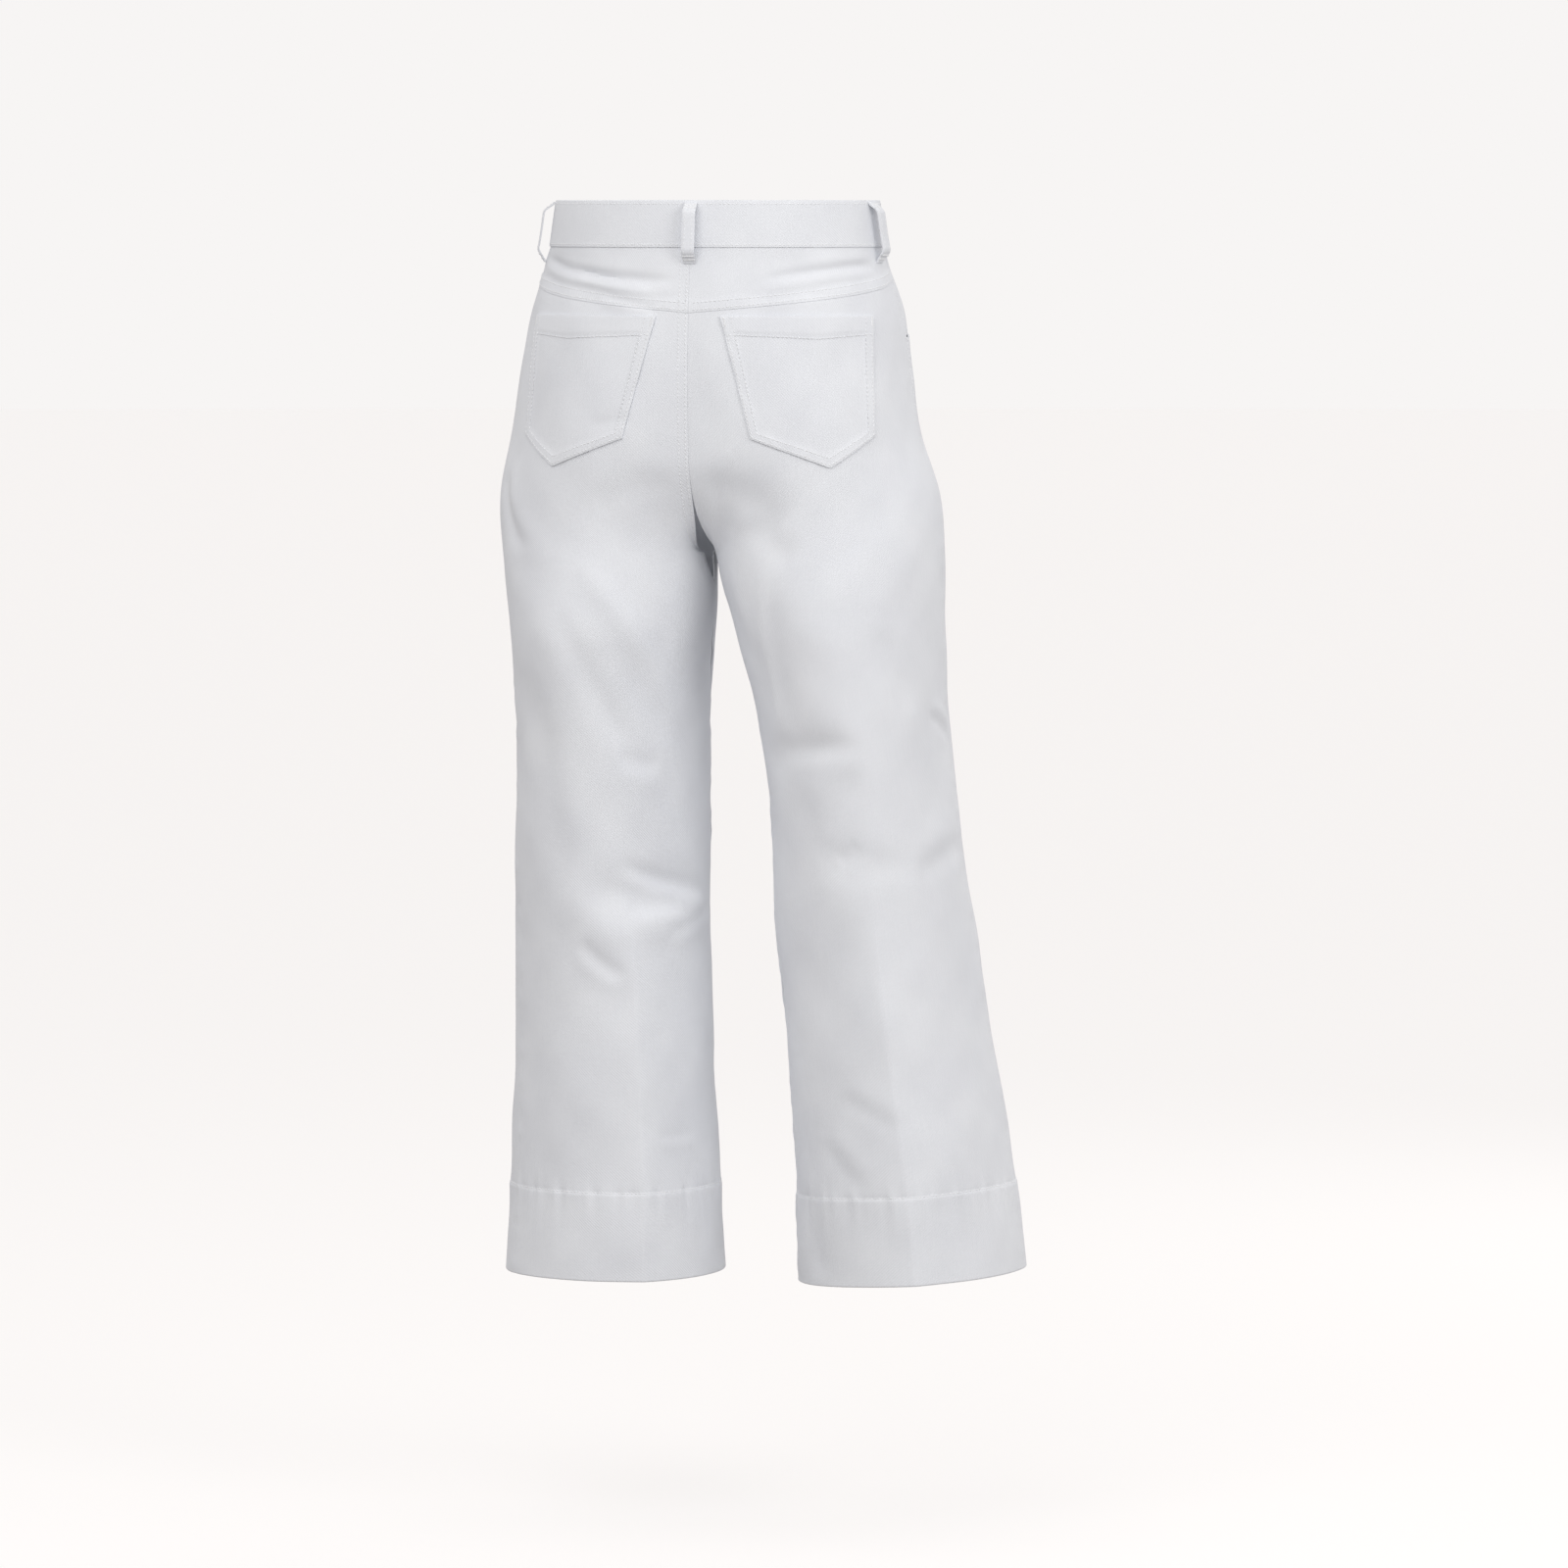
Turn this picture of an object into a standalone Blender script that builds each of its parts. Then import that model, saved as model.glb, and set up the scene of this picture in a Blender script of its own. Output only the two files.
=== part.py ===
"""Wide leg jeans, hollow, filled out in the pose in which they are worn.

Metres, +Z up. The front faces -Y and the back +Y, and the wearer's left is +X.
The origin is the middle of the waist, at half the waistband's depth.

Each half of the garment is one surface. "around" is an angle in degrees round that half:
-180 at the centre front and the inseam, 0 at the outer side, 180 at the centre back and the
inseam again. Above the crotch the half is open on the mid plane, and below it is a leg's tube.
Every piece of cloth is a wall between two skins of this surface.
"""

import bpy
import numpy as np

# ---- cloth and gaps
CLOTH = 0.0012
SEAM_GAP = 0.0003
BEHIND_GAP = 0.0009
BAND_THICK = 0.0024
HEM_THICK = 0.0024
STRAP_THICK = 0.0015

# ---- heights, from the origin
BAND_TOP = 0.0205
BAND_BOTTOM = -0.0205
YOKE_AT_SIDE = -0.050
YOKE_AT_BACK = -0.0775
YOKE_CURVE = 0.8
CROTCH = -0.290
BELOW_CROTCH = CROTCH - 1e-6
HEM = -0.929
HEM_DEEP = 0.078
HEM_STEP = 0.003
THIGH_DROP = 0.085

# ---- the crotch curve, a quarter ellipse up each side of the mid plane
RISE_CURVE_FRONT = 0.105
RISE_CURVE_BACK = 0.085
BLEND_TOP = -0.190
BLEND_BOTTOM = -0.370
BLEND_START_AROUND = 75.0
CROTCH_SOFTNESS = 0.9

# ---- seams
SIDE_SEAM_TURN = 10.0
SIDE_SEAM_TURN_FROM = -0.22
SIDE_SEAM_TURN_TO = -0.60
SCOOP_BOTTOM = -0.100
SCOOP_FROM_CENTRE = 0.088
FACING_BEHIND_FRONT = 0.022
FACING_BOTTOM = -0.135
FACING_UNDER = 2.0
FLY_BOTTOM = -0.175
FLY_LEFT = 0.012
FLY_RIGHT = 0.030

# ---- columns of points round each leg panel
PANEL_COLUMNS = 13
CREASE_COLUMN = 5

# ---- back pockets: distance from the centre back and height of each corner
POCKET_INNER_TOP = (0.029, -0.0805)
POCKET_OUTER_TOP = (0.170, -0.0805)
POCKET_OUTER_BOTTOM = (0.173, -0.185)
POCKET_POINT = (0.127, -0.2125)
POCKET_INNER_BOTTOM = (0.058, -0.187)
POCKET_SPARE = 0.03

# ---- waistband lap, loops and button, by distance from the centre front or the centre back
LAP_OVER = 0.016
LAP_UNDER = 0.034
LAP_SLOPE_START = 0.044
LAP_SLOPE_END = 0.020
LAP_BY_MIDDLE = 0.005
LOOP_WIDE = 0.011
LOOP_STANDS_OFF = 0.0084
LOOP_TOP = 0.0185
LOOP_BOTTOM = -0.0345
LOOP_TACK_SHARE = 0.2
SIDE_LOOP_FROM_BACK = 0.176
FRONT_LOOP_FROM_FRONT = 0.056
BUTTON_RADIUS = 0.0085
BUTTON_HIGH = 0.0042
BUTTON_SHANK_RADIUS = 0.0035

WHITE_DENIM = (0.76, 0.77, 0.79, 1.0)
BRUSHED_METAL = (0.55, 0.54, 0.52, 1.0)


def table(names, rows):
    """Named columns of a short table whose rows run downwards."""
    return dict(zip(names.split(), np.array(rows, float).T))


# Halves of the body above the legs. "down" is measured from the origin.
TORSO = table("down left right front back seat valley", [
    (-0.021, 0.1435, 0.1445, 0.098, 0.096, 0.000, 0.000),
    (0.027, 0.1510, 0.1525, 0.103, 0.102, 0.000, 0.000),
    (0.079, 0.1665, 0.1685, 0.108, 0.110, 0.003, 0.001),
    (0.131, 0.1765, 0.1755, 0.112, 0.116, 0.007, 0.004),
    (0.183, 0.1845, 0.1840, 0.114, 0.118, 0.010, 0.008),
    (0.236, 0.1955, 0.1985, 0.115, 0.116, 0.009, 0.012),
    (0.290, 0.1910, 0.2060, 0.115, 0.112, 0.005, 0.012),
    (0.400, 0.1800, 0.2080, 0.112, 0.108, 0.000, 0.000),
])

# Legs: an ellipse "out" from the mid plane and "aft" of it, turned by "turn" degrees.
LEFT_LEG = table("down out aft half deep turn", [
    (0.180, 0.0957, 0.014, 0.0955, 0.114, 0.0),
    (0.290, 0.0957, 0.014, 0.0955, 0.114, 0.0),
    (0.345, 0.0925, 0.010, 0.0905, 0.111, 5.0),
    (0.410, 0.0928, 0.006, 0.0850, 0.106, 12.0),
    (0.500, 0.0930, 0.004, 0.0855, 0.101, 18.0),
    (0.600, 0.0948, 0.004, 0.0860, 0.098, 24.0),
    (0.730, 0.0928, 0.006, 0.0880, 0.098, 27.0),
    (0.850, 0.0908, 0.008, 0.0930, 0.100, 27.0),
    (0.940, 0.0896, 0.010, 0.0980, 0.102, 27.0),
])
RIGHT_LEG = table("down out aft half deep turn", [
    (0.180, 0.1020, 0.014, 0.1018, 0.114, 0.0),
    (0.290, 0.1030, 0.014, 0.1020, 0.114, 0.0),
    (0.345, 0.1116, 0.010, 0.0935, 0.111, -4.0),
    (0.410, 0.1216, 0.006, 0.0853, 0.106, -9.0),
    (0.500, 0.1330, 0.002, 0.0815, 0.101, -12.0),
    (0.600, 0.1420, 0.000, 0.0865, 0.098, -13.0),
    (0.730, 0.1578, 0.000, 0.0905, 0.098, -13.0),
    (0.850, 0.1715, 0.000, 0.0970, 0.100, -13.0),
    (0.940, 0.1785, 0.000, 0.1010, 0.102, -13.0),
])
LEG = {1: LEFT_LEG, -1: RIGHT_LEG}
TORSO_SIDE = {1: "left", -1: "right"}
HEM_TILT = {1: 0.0, -1: 0.066}
HEM_TILT_ABOUT = 0.16

# Ridges that run down the legs: pressed creases, and the fold that the hip pulls round.
RIDGES = {
    1: [
        table("down around high reach", [
            (0.300, 50.0, 0.000, 60.0),
            (0.350, 54.0, 0.006, 58.0),
            (0.470, 58.0, 0.009, 58.0),
            (0.583, 63.0, 0.009, 62.0),
            (0.655, 89.0, 0.009, 66.0),
            (0.720, 90.0, 0.010, 68.0),
            (0.940, 90.0, 0.011, 70.0),
        ]),
        table("down around high reach", [
            (0.300, -90.0, 0.000, 60.0),
            (0.450, -90.0, 0.005, 64.0),
            (0.600, -90.0, 0.009, 68.0),
            (0.940, -90.0, 0.011, 70.0),
        ]),
    ],
    -1: [
        table("down around high reach", [
            (0.340, 82.0, 0.000, 60.0),
            (0.420, 86.0, 0.006, 64.0),
            (0.550, 90.0, 0.010, 68.0),
            (0.940, 90.0, 0.011, 70.0),
        ]),
        table("down around high reach", [
            (0.300, -90.0, 0.000, 60.0),
            (0.450, -90.0, 0.005, 64.0),
            (0.600, -90.0, 0.009, 68.0),
            (0.940, -90.0, 0.011, 70.0),
        ]),
    ],
}

# Soft folds that run across: from one angle and depth to another, a trough where "high" is below 0.
CROSS_FOLDS = {
    1: table("start start_down end end_down wide high", [
        (20.0, 0.045, 150.0, 0.063, 0.010, -0.0020),
        (60.0, 0.590, 150.0, 0.580, 0.018, -0.0045),
        (70.0, 0.625, 160.0, 0.606, 0.014, 0.0030),
        (-150.0, 0.262, -60.0, 0.236, 0.014, -0.0035),
        (-160.0, 0.290, -70.0, 0.285, 0.012, 0.0025),
        (-140.0, 0.560, -50.0, 0.585, 0.020, -0.0035),
    ]),
    -1: table("start start_down end end_down wide high", [
        (20.0, 0.040, 120.0, 0.055, 0.010, -0.0020),
        (85.0, 0.452, 160.0, 0.470, 0.016, -0.0040),
        (60.0, 0.560, 120.0, 0.556, 0.016, -0.0025),
        (-150.0, 0.262, -60.0, 0.240, 0.014, -0.0035),
        (-140.0, 0.520, -50.0, 0.540, 0.020, -0.0035),
    ]),
}

# The seat's mound on each side and the valley between them: middle and spread, in degrees
MOUND_AT, MOUND_SPREAD = 108.0, 42.0
VALLEY_AT, VALLEY_SPREAD = 180.0, 34.0

# Steps over which slopes are taken, in degrees and metres
STEP_AROUND = 0.2
STEP_HEIGHT = 0.0008


def smooth(t):
    """Eases from 0 to 1 as t goes from 0 to 1."""
    t = np.clip(t, 0.0, 1.0)
    return t * t * (3.0 - 2.0 * t)


def read(columns, name, height):
    """A column's value at a height, on a cubic curve through its rows."""
    downs = columns["down"]
    values = columns[name]
    slopes = np.gradient(values, downs)
    down = np.clip(-np.asarray(height, float), downs[0], downs[-1])
    row = np.clip(np.searchsorted(downs, down) - 1, 0, len(downs) - 2)
    span = downs[row + 1] - downs[row]
    t = (down - downs[row]) / span
    start = (1.0 + 2.0 * t) * (1.0 - t) ** 2 * values[row]
    start_slope = t * (1.0 - t) ** 2 * span * slopes[row]
    end = t ** 2 * (3.0 - 2.0 * t) * values[row + 1]
    end_slope = t ** 2 * (t - 1.0) * span * slopes[row + 1]
    return start + start_slope + end + end_slope


def torso_point(side, around, height):
    """Half an oval from centre front to centre back, with the seat's mound and its valley."""
    half = read(TORSO, TORSO_SIDE[side], height)
    deep = np.where(around < 0.0, read(TORSO, "front", height), read(TORSO, "back", height))
    angle = np.radians(around / 2.0)
    mound = np.exp(-((around - MOUND_AT) / MOUND_SPREAD) ** 2)
    valley = np.exp(-((around - VALLEY_AT) / VALLEY_SPREAD) ** 2)
    relief = read(TORSO, "seat", height) * mound - read(TORSO, "valley", height) * valley
    return half * np.cos(angle), deep * np.sin(angle) + relief


def leg_point(side, around, height):
    """An ellipse round the leg's own axis, drawn out to its creases and ridges."""
    leg = LEG[side]
    angle = np.radians(around + read(leg, "turn", height))
    ridge = 0.0
    for columns in RIDGES[side]:
        away = np.abs(around - read(columns, "around", height)) / read(columns, "reach", height)
        ridge = ridge + read(columns, "high", height) * np.clip(1.0 - away, 0.0, 1.0) ** 2
    out = read(leg, "out", height) + (read(leg, "half", height) + ridge) * np.cos(angle)
    back = read(leg, "aft", height) + (read(leg, "deep", height) + ridge) * np.sin(angle)
    return out, back


def leg_share(around, height):
    """How far a point has gone from the torso's oval to the leg's tube, from 0 to 1.

    At the mid plane this follows the crotch curve, a quarter ellipse on each side. Away from it
    the curve's foot is rounded off, and further round the change is slower.
    """
    curve = np.where(around < 0.0, RISE_CURVE_FRONT, RISE_CURVE_BACK)
    inner = smooth((np.abs(around) - BLEND_START_AROUND) / (180.0 - BLEND_START_AROUND))
    rise = (height - CROTCH) / curve
    softness = CROTCH_SOFTNESS * (1.0 - inner)
    rise = np.clip(0.5 * (rise + np.sqrt(rise ** 2 + softness ** 2)), 0.0, 1.0)
    at_middle = 1.0 - np.sqrt(rise * (2.0 - rise))
    at_side = smooth((BLEND_TOP - height) / (BLEND_TOP - BLEND_BOTTOM))
    return at_side + (at_middle - at_side) * inner ** 2


def cross_folds(side, around, height):
    """Height of the soft folds that run across the cloth."""
    relief = np.zeros_like(around * height)
    rows = CROSS_FOLDS[side]
    for start, start_down, end, end_down, wide, high in zip(*rows.values()):
        t = (around - start) / (end - start)
        line = -(start_down + (end_down - start_down) * t)
        window = smooth(4.0 * np.clip(t * (1.0 - t), 0.0, 0.25))
        relief = relief + high * window * np.exp(-((height - line) / wide) ** 2)
    return relief


def smooth_form(side, around, height):
    """The garment's form without its cross folds, as (out, back, up)."""
    torso = torso_point(side, around, height)
    leg = leg_point(side, around, height)
    share = leg_share(around, height)
    out = torso[0] + (leg[0] - torso[0]) * share + SEAM_GAP / 2.0
    back = torso[1] + (leg[1] - torso[1]) * share
    up = height + HEM_TILT[side] * (out - HEM_TILT_ABOUT) * smooth((CROTCH - height) / (CROTCH - HEM))
    return np.stack(np.broadcast_arrays(out, back, up), axis=-1)


def form(side, around, height):
    """The outer face of the cloth, as (out, back, up)."""
    point = smooth_form(side, around, height)
    along = smooth_form(side, around + STEP_AROUND, height) - point
    length = np.maximum(np.hypot(along[..., 0], along[..., 1]), 1e-9)
    relief = cross_folds(side, around, height)
    point[..., 0] += relief * along[..., 1] / length
    point[..., 1] -= relief * along[..., 0] / length
    return point


def skin(side, around, height, lift):
    """World points of the surface, lifted off it by "lift" along its normal."""
    around, height, lift = np.broadcast_arrays(around, height, lift)
    point = form(side, around, height)
    along = form(side, around + STEP_AROUND, height) - form(side, around - STEP_AROUND, height)
    upward = form(side, around, height + STEP_HEIGHT) - form(side, around, height - STEP_HEIGHT)
    normal = np.cross(along, upward)
    on_mid_plane = (np.abs(around) > 179.9) & (height > BELOW_CROTCH)
    normal[..., 0] = np.where(on_mid_plane, 0.0, normal[..., 0])
    normal /= np.maximum(np.linalg.norm(normal, axis=-1, keepdims=True), 1e-12)
    point = point + normal * lift[..., None]
    kept_off = np.maximum(point[..., 0], SEAM_GAP / 2.0)
    point[..., 0] = np.where(height > BELOW_CROTCH, kept_off, point[..., 0]) * side
    return point


def degrees_for(side, around, height, distance):
    """The change of "around" that moves a point by a distance along the cloth."""
    ahead = form(side, around + STEP_AROUND, height)
    behind = form(side, around - STEP_AROUND, height)
    return distance * 2.0 * STEP_AROUND / np.linalg.norm(ahead - behind, axis=-1)


def distance_from_back(side, around, height):
    """Distance along the cloth from the centre back to each point."""
    angles = np.linspace(180.0, -20.0, 201)
    out = np.empty(height.shape)
    for index, one_height in np.ndenumerate(height):
        line = form(side, angles, np.full(angles.shape, one_height))
        run = np.concatenate([[0.0], np.cumsum(np.linalg.norm(np.diff(line, axis=0), axis=1))])
        out[index] = np.interp(-around[index], -angles, run)
    return out


def around_at(side, distance, height, from_back):
    """The angle that lies a distance along the cloth from the centre back or the centre front."""
    end = 180.0 if from_back else -180.0
    angles = np.linspace(end, 0.0, 181)
    out = np.empty(np.shape(height))
    for index, one_height in np.ndenumerate(height):
        line = form(side, angles, np.full(angles.shape, one_height))
        steps = np.linalg.norm(np.diff(line, axis=0), axis=1)
        run = np.concatenate([[0.0], np.cumsum(steps)])
        out[index] = np.interp(np.broadcast_to(distance, np.shape(height))[index], run, angles)
    return out


# ---------------------------------------------------------------- making objects

def remove_everything():
    for item in list(bpy.data.objects):
        bpy.data.objects.remove(item, do_unlink=True)


def material(name, colour, roughness, metallic):
    """A Principled material with the given finish."""
    finish = bpy.data.materials.new(name)
    finish.use_nodes = True
    shader = finish.node_tree.nodes["Principled BSDF"]
    shader.inputs["Base Color"].default_value = colour
    shader.inputs["Roughness"].default_value = roughness
    shader.inputs["Metallic"].default_value = metallic
    return finish


def add_object(name, points, faces, colour=WHITE_DENIM, roughness=0.85, metallic=0.0):
    mesh = bpy.data.meshes.new(name)
    mesh.from_pydata([tuple(point) for point in points], [], faces)
    mesh.validate()
    mesh.shade_smooth()
    mesh.set_sharp_from_angle(angle=np.radians(50.0))
    item = bpy.data.objects.new(name, mesh)
    bpy.context.scene.collection.objects.link(item)
    mesh.materials.append(material(name, colour, roughness, metallic))
    return item


def halves(corner, below, below_next, following, points):
    """A facet's two triangles, split along its shorter diagonal."""
    falling = np.linalg.norm(np.subtract(points[corner], points[below_next]))
    rising = np.linalg.norm(np.subtract(points[following], points[below]))
    if falling <= rising:
        return (corner, below, below_next), (corner, below_next, following)
    return (corner, below, following), (following, below, below_next)


def wall(name, outer, inner, flip):
    """A closed wall between two grids of points whose rows run down and columns run round."""
    rows, columns = outer.shape[:2]
    count = rows * columns
    points = np.concatenate([outer.reshape(-1, 3), inner.reshape(-1, 3)])
    faces = []
    for row in range(rows - 1):
        for column in range(columns - 1):
            a = row * columns + column
            b = a + columns
            for first, second, third in halves(a, b, b + 1, a + 1, points):
                faces.append((first, second, third))
                faces.append((count + first, count + third, count + second))
    rim = [(0, column) for column in range(columns)]
    rim += [(row, columns - 1) for row in range(1, rows)]
    rim += [(rows - 1, column) for column in range(columns - 2, -1, -1)]
    rim += [(row, 0) for row in range(rows - 2, 0, -1)]
    edge = [row * columns + column for row, column in rim]
    for first, second in zip(edge, edge[1:] + edge[:1]):
        faces.append((first, second, count + second, count + first))
    if flip:
        faces = [face[::-1] for face in faces]
    return add_object(name, points, faces)


def cloth(name, side, around, height, outer=0.0, thick=CLOTH):
    """A wall of cloth on one half, from its outer face inwards."""
    outer_skin = skin(side, around, height, outer)
    inner_skin = skin(side, around, height, outer - thick)
    return wall(name, outer_skin, inner_skin, flip=side < 0)


# ---------------------------------------------------------------- seams

def side_seam(height):
    """The side seam, which swings back below the hip."""
    span = SIDE_SEAM_TURN_FROM - SIDE_SEAM_TURN_TO
    return SIDE_SEAM_TURN * smooth((SIDE_SEAM_TURN_FROM - height) / span)


def yoke_seam(around):
    """Height of the seam below the yoke, lowest at the centre back."""
    return YOKE_AT_SIDE + (YOKE_AT_BACK - YOKE_AT_SIDE) * (around / 180.0) ** 0.8


def half_gap(side, around, height):
    return degrees_for(side, around, height, SEAM_GAP / 2.0)


def inseam_gap(side, around, height):
    """Half a seam's gap below the crotch. Above it the mid plane keeps the gap."""
    return np.where(height < BELOW_CROTCH, half_gap(side, around, height), 0.0)


def curve_rows(top, bottom, count):
    """Heights that crowd towards the crotch as a quarter ellipse's even steps do."""
    angle = np.linspace(np.pi / 2.0, 0.0, count)
    return bottom + (top - bottom) * (1.0 - np.cos(angle))


def leg_rows():
    """Heights from below the crotch to the hem, with two rows close together at the hem's fold."""
    above_hem = HEM + HEM_DEEP
    thigh = CROTCH - THIGH_DROP * np.array([0.1, 0.3, 0.65])
    shin = np.linspace(CROTCH - THIGH_DROP, above_hem, 14)
    hem = np.linspace(above_hem - HEM_STEP, HEM, 3)
    return np.concatenate([thigh, shin, hem])


def panel_grid(start, end, rows, crease):
    """Angles and heights of a leg panel's points, with one column on the pressed crease."""
    crease_share = (crease - start[-1]) / (end[-1] - start[-1])
    power = np.log(crease_share) / np.log(CREASE_COLUMN / (PANEL_COLUMNS - 1))
    share = (np.linspace(0.0, 1.0, PANEL_COLUMNS) ** power)[None, :]
    around = start[:, None] + (end - start)[:, None] * share
    return around, np.broadcast_to(rows[:, None], around.shape)


def panel_wall(name, side, around, height):
    """A leg panel. Its hem is the doubled cloth at the foot of the wall."""
    in_hem = height < HEM + HEM_DEEP - HEM_STEP / 2.0
    return cloth(name, side, around, height, thick=np.where(in_hem, HEM_THICK, CLOTH))


def back_grid(side):
    top = YOKE_AT_BACK - SEAM_GAP
    seat = np.linspace(top, CROTCH + RISE_CURVE_BACK, 6)[:-1]
    rows = np.concatenate([seat, curve_rows(CROTCH + RISE_CURVE_BACK, CROTCH, 7), leg_rows()])
    start = side_seam(rows)
    start = start + half_gap(side, start, rows)
    end = np.full(rows.shape, 180.0)
    end = end - inseam_gap(side, end, rows)
    around, height = panel_grid(start, end, rows, 90.0)
    fade = smooth((height - BLEND_TOP) / (top - BLEND_TOP))
    return around, height + (yoke_seam(around) - SEAM_GAP - top) * fade


def back_panel(name, side):
    return panel_wall(name, side, *back_grid(side))


def scoop_edge(side, height):
    """The pocket mouth: a quarter ellipse from the waistband down to the side seam."""
    top = BAND_BOTTOM - SEAM_GAP
    at_top = around_at(side, SCOOP_FROM_CENTRE, np.array(top), False)
    rise = np.clip((height - SCOOP_BOTTOM) / (top - SCOOP_BOTTOM), 0.0, 1.0)
    seam = side_seam(height)
    return seam + (at_top - seam) * np.sqrt(rise * (2.0 - rise))


def front_panel(name, side):
    top = BAND_BOTTOM - SEAM_GAP
    mouth = curve_rows(top, SCOOP_BOTTOM, 8)[:-1]
    belly = np.linspace(SCOOP_BOTTOM, CROTCH + RISE_CURVE_FRONT, 4)[:-1]
    curve = curve_rows(CROTCH + RISE_CURVE_FRONT, CROTCH, 7)
    rows = np.concatenate([mouth, belly, curve, leg_rows()])
    start = np.full(rows.shape, -180.0)
    start = start + inseam_gap(side, start, rows)
    end = scoop_edge(side, rows)
    end = end - half_gap(side, end, rows)
    return panel_wall(name, side, *panel_grid(start, end, rows, -90.0))


def yoke(name, side):
    """The back yoke, whose points stand above those of the back panel's top row."""
    around = back_grid(side)[0][0][None, :]
    drop = np.linspace(0.0, 1.0, 4)[:, None]
    around = around + 0.0 * drop
    top = BAND_BOTTOM - SEAM_GAP
    height = top + (yoke_seam(around) - top) * drop
    return cloth(name, side, around, height)


def pocket_facing(name, side):
    """Cloth behind the pocket mouth, one layer further in than the front."""
    top = BAND_BOTTOM - SEAM_GAP
    level = np.linspace(top, FACING_BOTTOM, 6)[:, None]
    first = around_at(side, SCOOP_FROM_CENTRE - FACING_BEHIND_FRONT, np.array(top), False)
    around = first + (FACING_UNDER - first) * np.linspace(0.0, 1.0, 9)[None, :] + 0.0 * level
    height = np.broadcast_to(level, around.shape)
    return cloth(name, side, around, height, outer=-CLOTH - BEHIND_GAP)


def cut_off(polygon, start, end):
    """The part of a polygon to the left of a line, where each corner is (distance, height, ...)."""
    along = np.subtract(end, start)
    kept = []
    for corner, following in zip(polygon, polygon[1:] + polygon[:1]):
        here = along[0] * (corner[1] - start[1]) - along[1] * (corner[0] - start[0])
        there = along[0] * (following[1] - start[1]) - along[1] * (following[0] - start[0])
        if here >= 0.0:
            kept.append(corner)
        if here * there < 0.0:
            kept.append(corner + (following - corner) * here / (here - there))
    return kept


def back_pocket(name, side):
    """A five-sided patch: the back panel's own facets, cut to the outline and moved out."""
    around, height = back_grid(side)
    rows = height[:, -1] > POCKET_POINT[1] - POCKET_SPARE
    around = around[rows]
    height = height[rows]
    distance = distance_from_back(side, around, height)
    inner = skin(side, around, height, SEAM_GAP)
    outer = skin(side, around, height, SEAM_GAP + CLOTH)
    corner_data = np.dstack([distance, height, inner, outer])
    panel = skin(side, around, height, 0.0)
    corners = [POCKET_INNER_TOP, POCKET_INNER_BOTTOM, POCKET_POINT, POCKET_OUTER_BOTTOM, POCKET_OUTER_TOP]
    places = {}
    data = []
    front_faces = []
    for row in range(corner_data.shape[0] - 1):
        for column in range(corner_data.shape[1] - 1):
            places_in_grid = [(row, column), (row + 1, column), (row + 1, column + 1), (row, column + 1)]
            for triangle in halves(*places_in_grid, panel):
                triangle = [corner_data[place] for place in triangle]
                for start, end in zip(corners, corners[1:] + corners[:1]):
                    triangle = cut_off(triangle, start, end)
                face = []
                for corner in triangle:
                    key = tuple(np.round(corner[:2], 6))
                    if key not in places:
                        places[key] = len(data)
                        data.append(corner)
                    if places[key] not in face:
                        face.append(places[key])
                if len(face) > 2:
                    front_faces.append(tuple(face))
    count = len(data)
    data = np.array(data)
    points = np.concatenate([data[:, 5:8], data[:, 2:5]])
    used = {(face[i], face[(i + 1) % len(face)]) for face in front_faces for i in range(len(face))}
    faces = list(front_faces)
    faces += [tuple(count + index for index in face[::-1]) for face in front_faces]
    faces += [(b, a, count + a, count + b) for a, b in sorted(used) if (b, a) not in used]
    if side < 0:
        faces = [face[::-1] for face in faces]
    return add_object(name, points, faces)


def fly_shield(name):
    """The strip behind the centre front, from just under the left front to well under the right."""
    top = BAND_BOTTOM - SEAM_GAP
    level = np.linspace(top, FLY_BOTTOM, 7)
    lift = -CLOTH - BEHIND_GAP
    outer = []
    inner = []
    for side, reach in ((-1, FLY_RIGHT), (1, FLY_LEFT)):
        distances = np.linspace(reach, 0.0, 4)[:-1] if side < 0 else np.linspace(0.0, reach, 3)
        for distance in distances:
            around = around_at(side, distance, level, False)
            outer.append(skin(side, around, level, lift))
            inner.append(skin(side, around, level, lift - CLOTH))
    return wall(name, np.stack(outer, axis=1), np.stack(inner, axis=1), flip=False)


def waistband(name):
    """One band round the waist. Its right end dips and passes under its left end at the front.

    A station is a side, a place and a drop. The place is a share of the way round from the front
    where the drop is None, and a distance from the centre front where the band is lapped.
    """
    under = BAND_THICK + SEAM_GAP
    stations = []
    for distance in np.linspace(-LAP_OVER, 0.0, 3)[:-1]:
        stations.append((-1, -distance, 0.0))
    shares = np.linspace(0.0, 1.0, 19)
    stations += [(1, share, None) for share in shares]
    stations += [(-1, share, None) for share in shares[-2:2:-1]]
    for distance in np.linspace(LAP_SLOPE_START, LAP_SLOPE_END, 5):
        drop = smooth((LAP_SLOPE_START - distance) / (LAP_SLOPE_START - LAP_SLOPE_END))
        stations.append((-1, distance, drop))
    stations.append((-1, LAP_BY_MIDDLE, 1.0))
    for distance in np.linspace(LAP_BY_MIDDLE, LAP_UNDER, 4):
        stations.append((1, distance, 1.0))
    level = np.linspace(BAND_TOP, BAND_BOTTOM, 4)
    outer = []
    inner = []
    for side, place, drop in stations:
        if drop is None:
            around = np.full(level.shape, -180.0 + 360.0 * place)
            drop = 0.0
        else:
            around = around_at(side, place, level, False)
        lift = BAND_THICK / 2.0 - under * drop
        outer.append(skin(side, around, level, lift))
        inner.append(skin(side, around, level, lift - BAND_THICK))
    return wall(name, np.stack(outer, axis=1), np.stack(inner, axis=1), flip=False)


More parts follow.
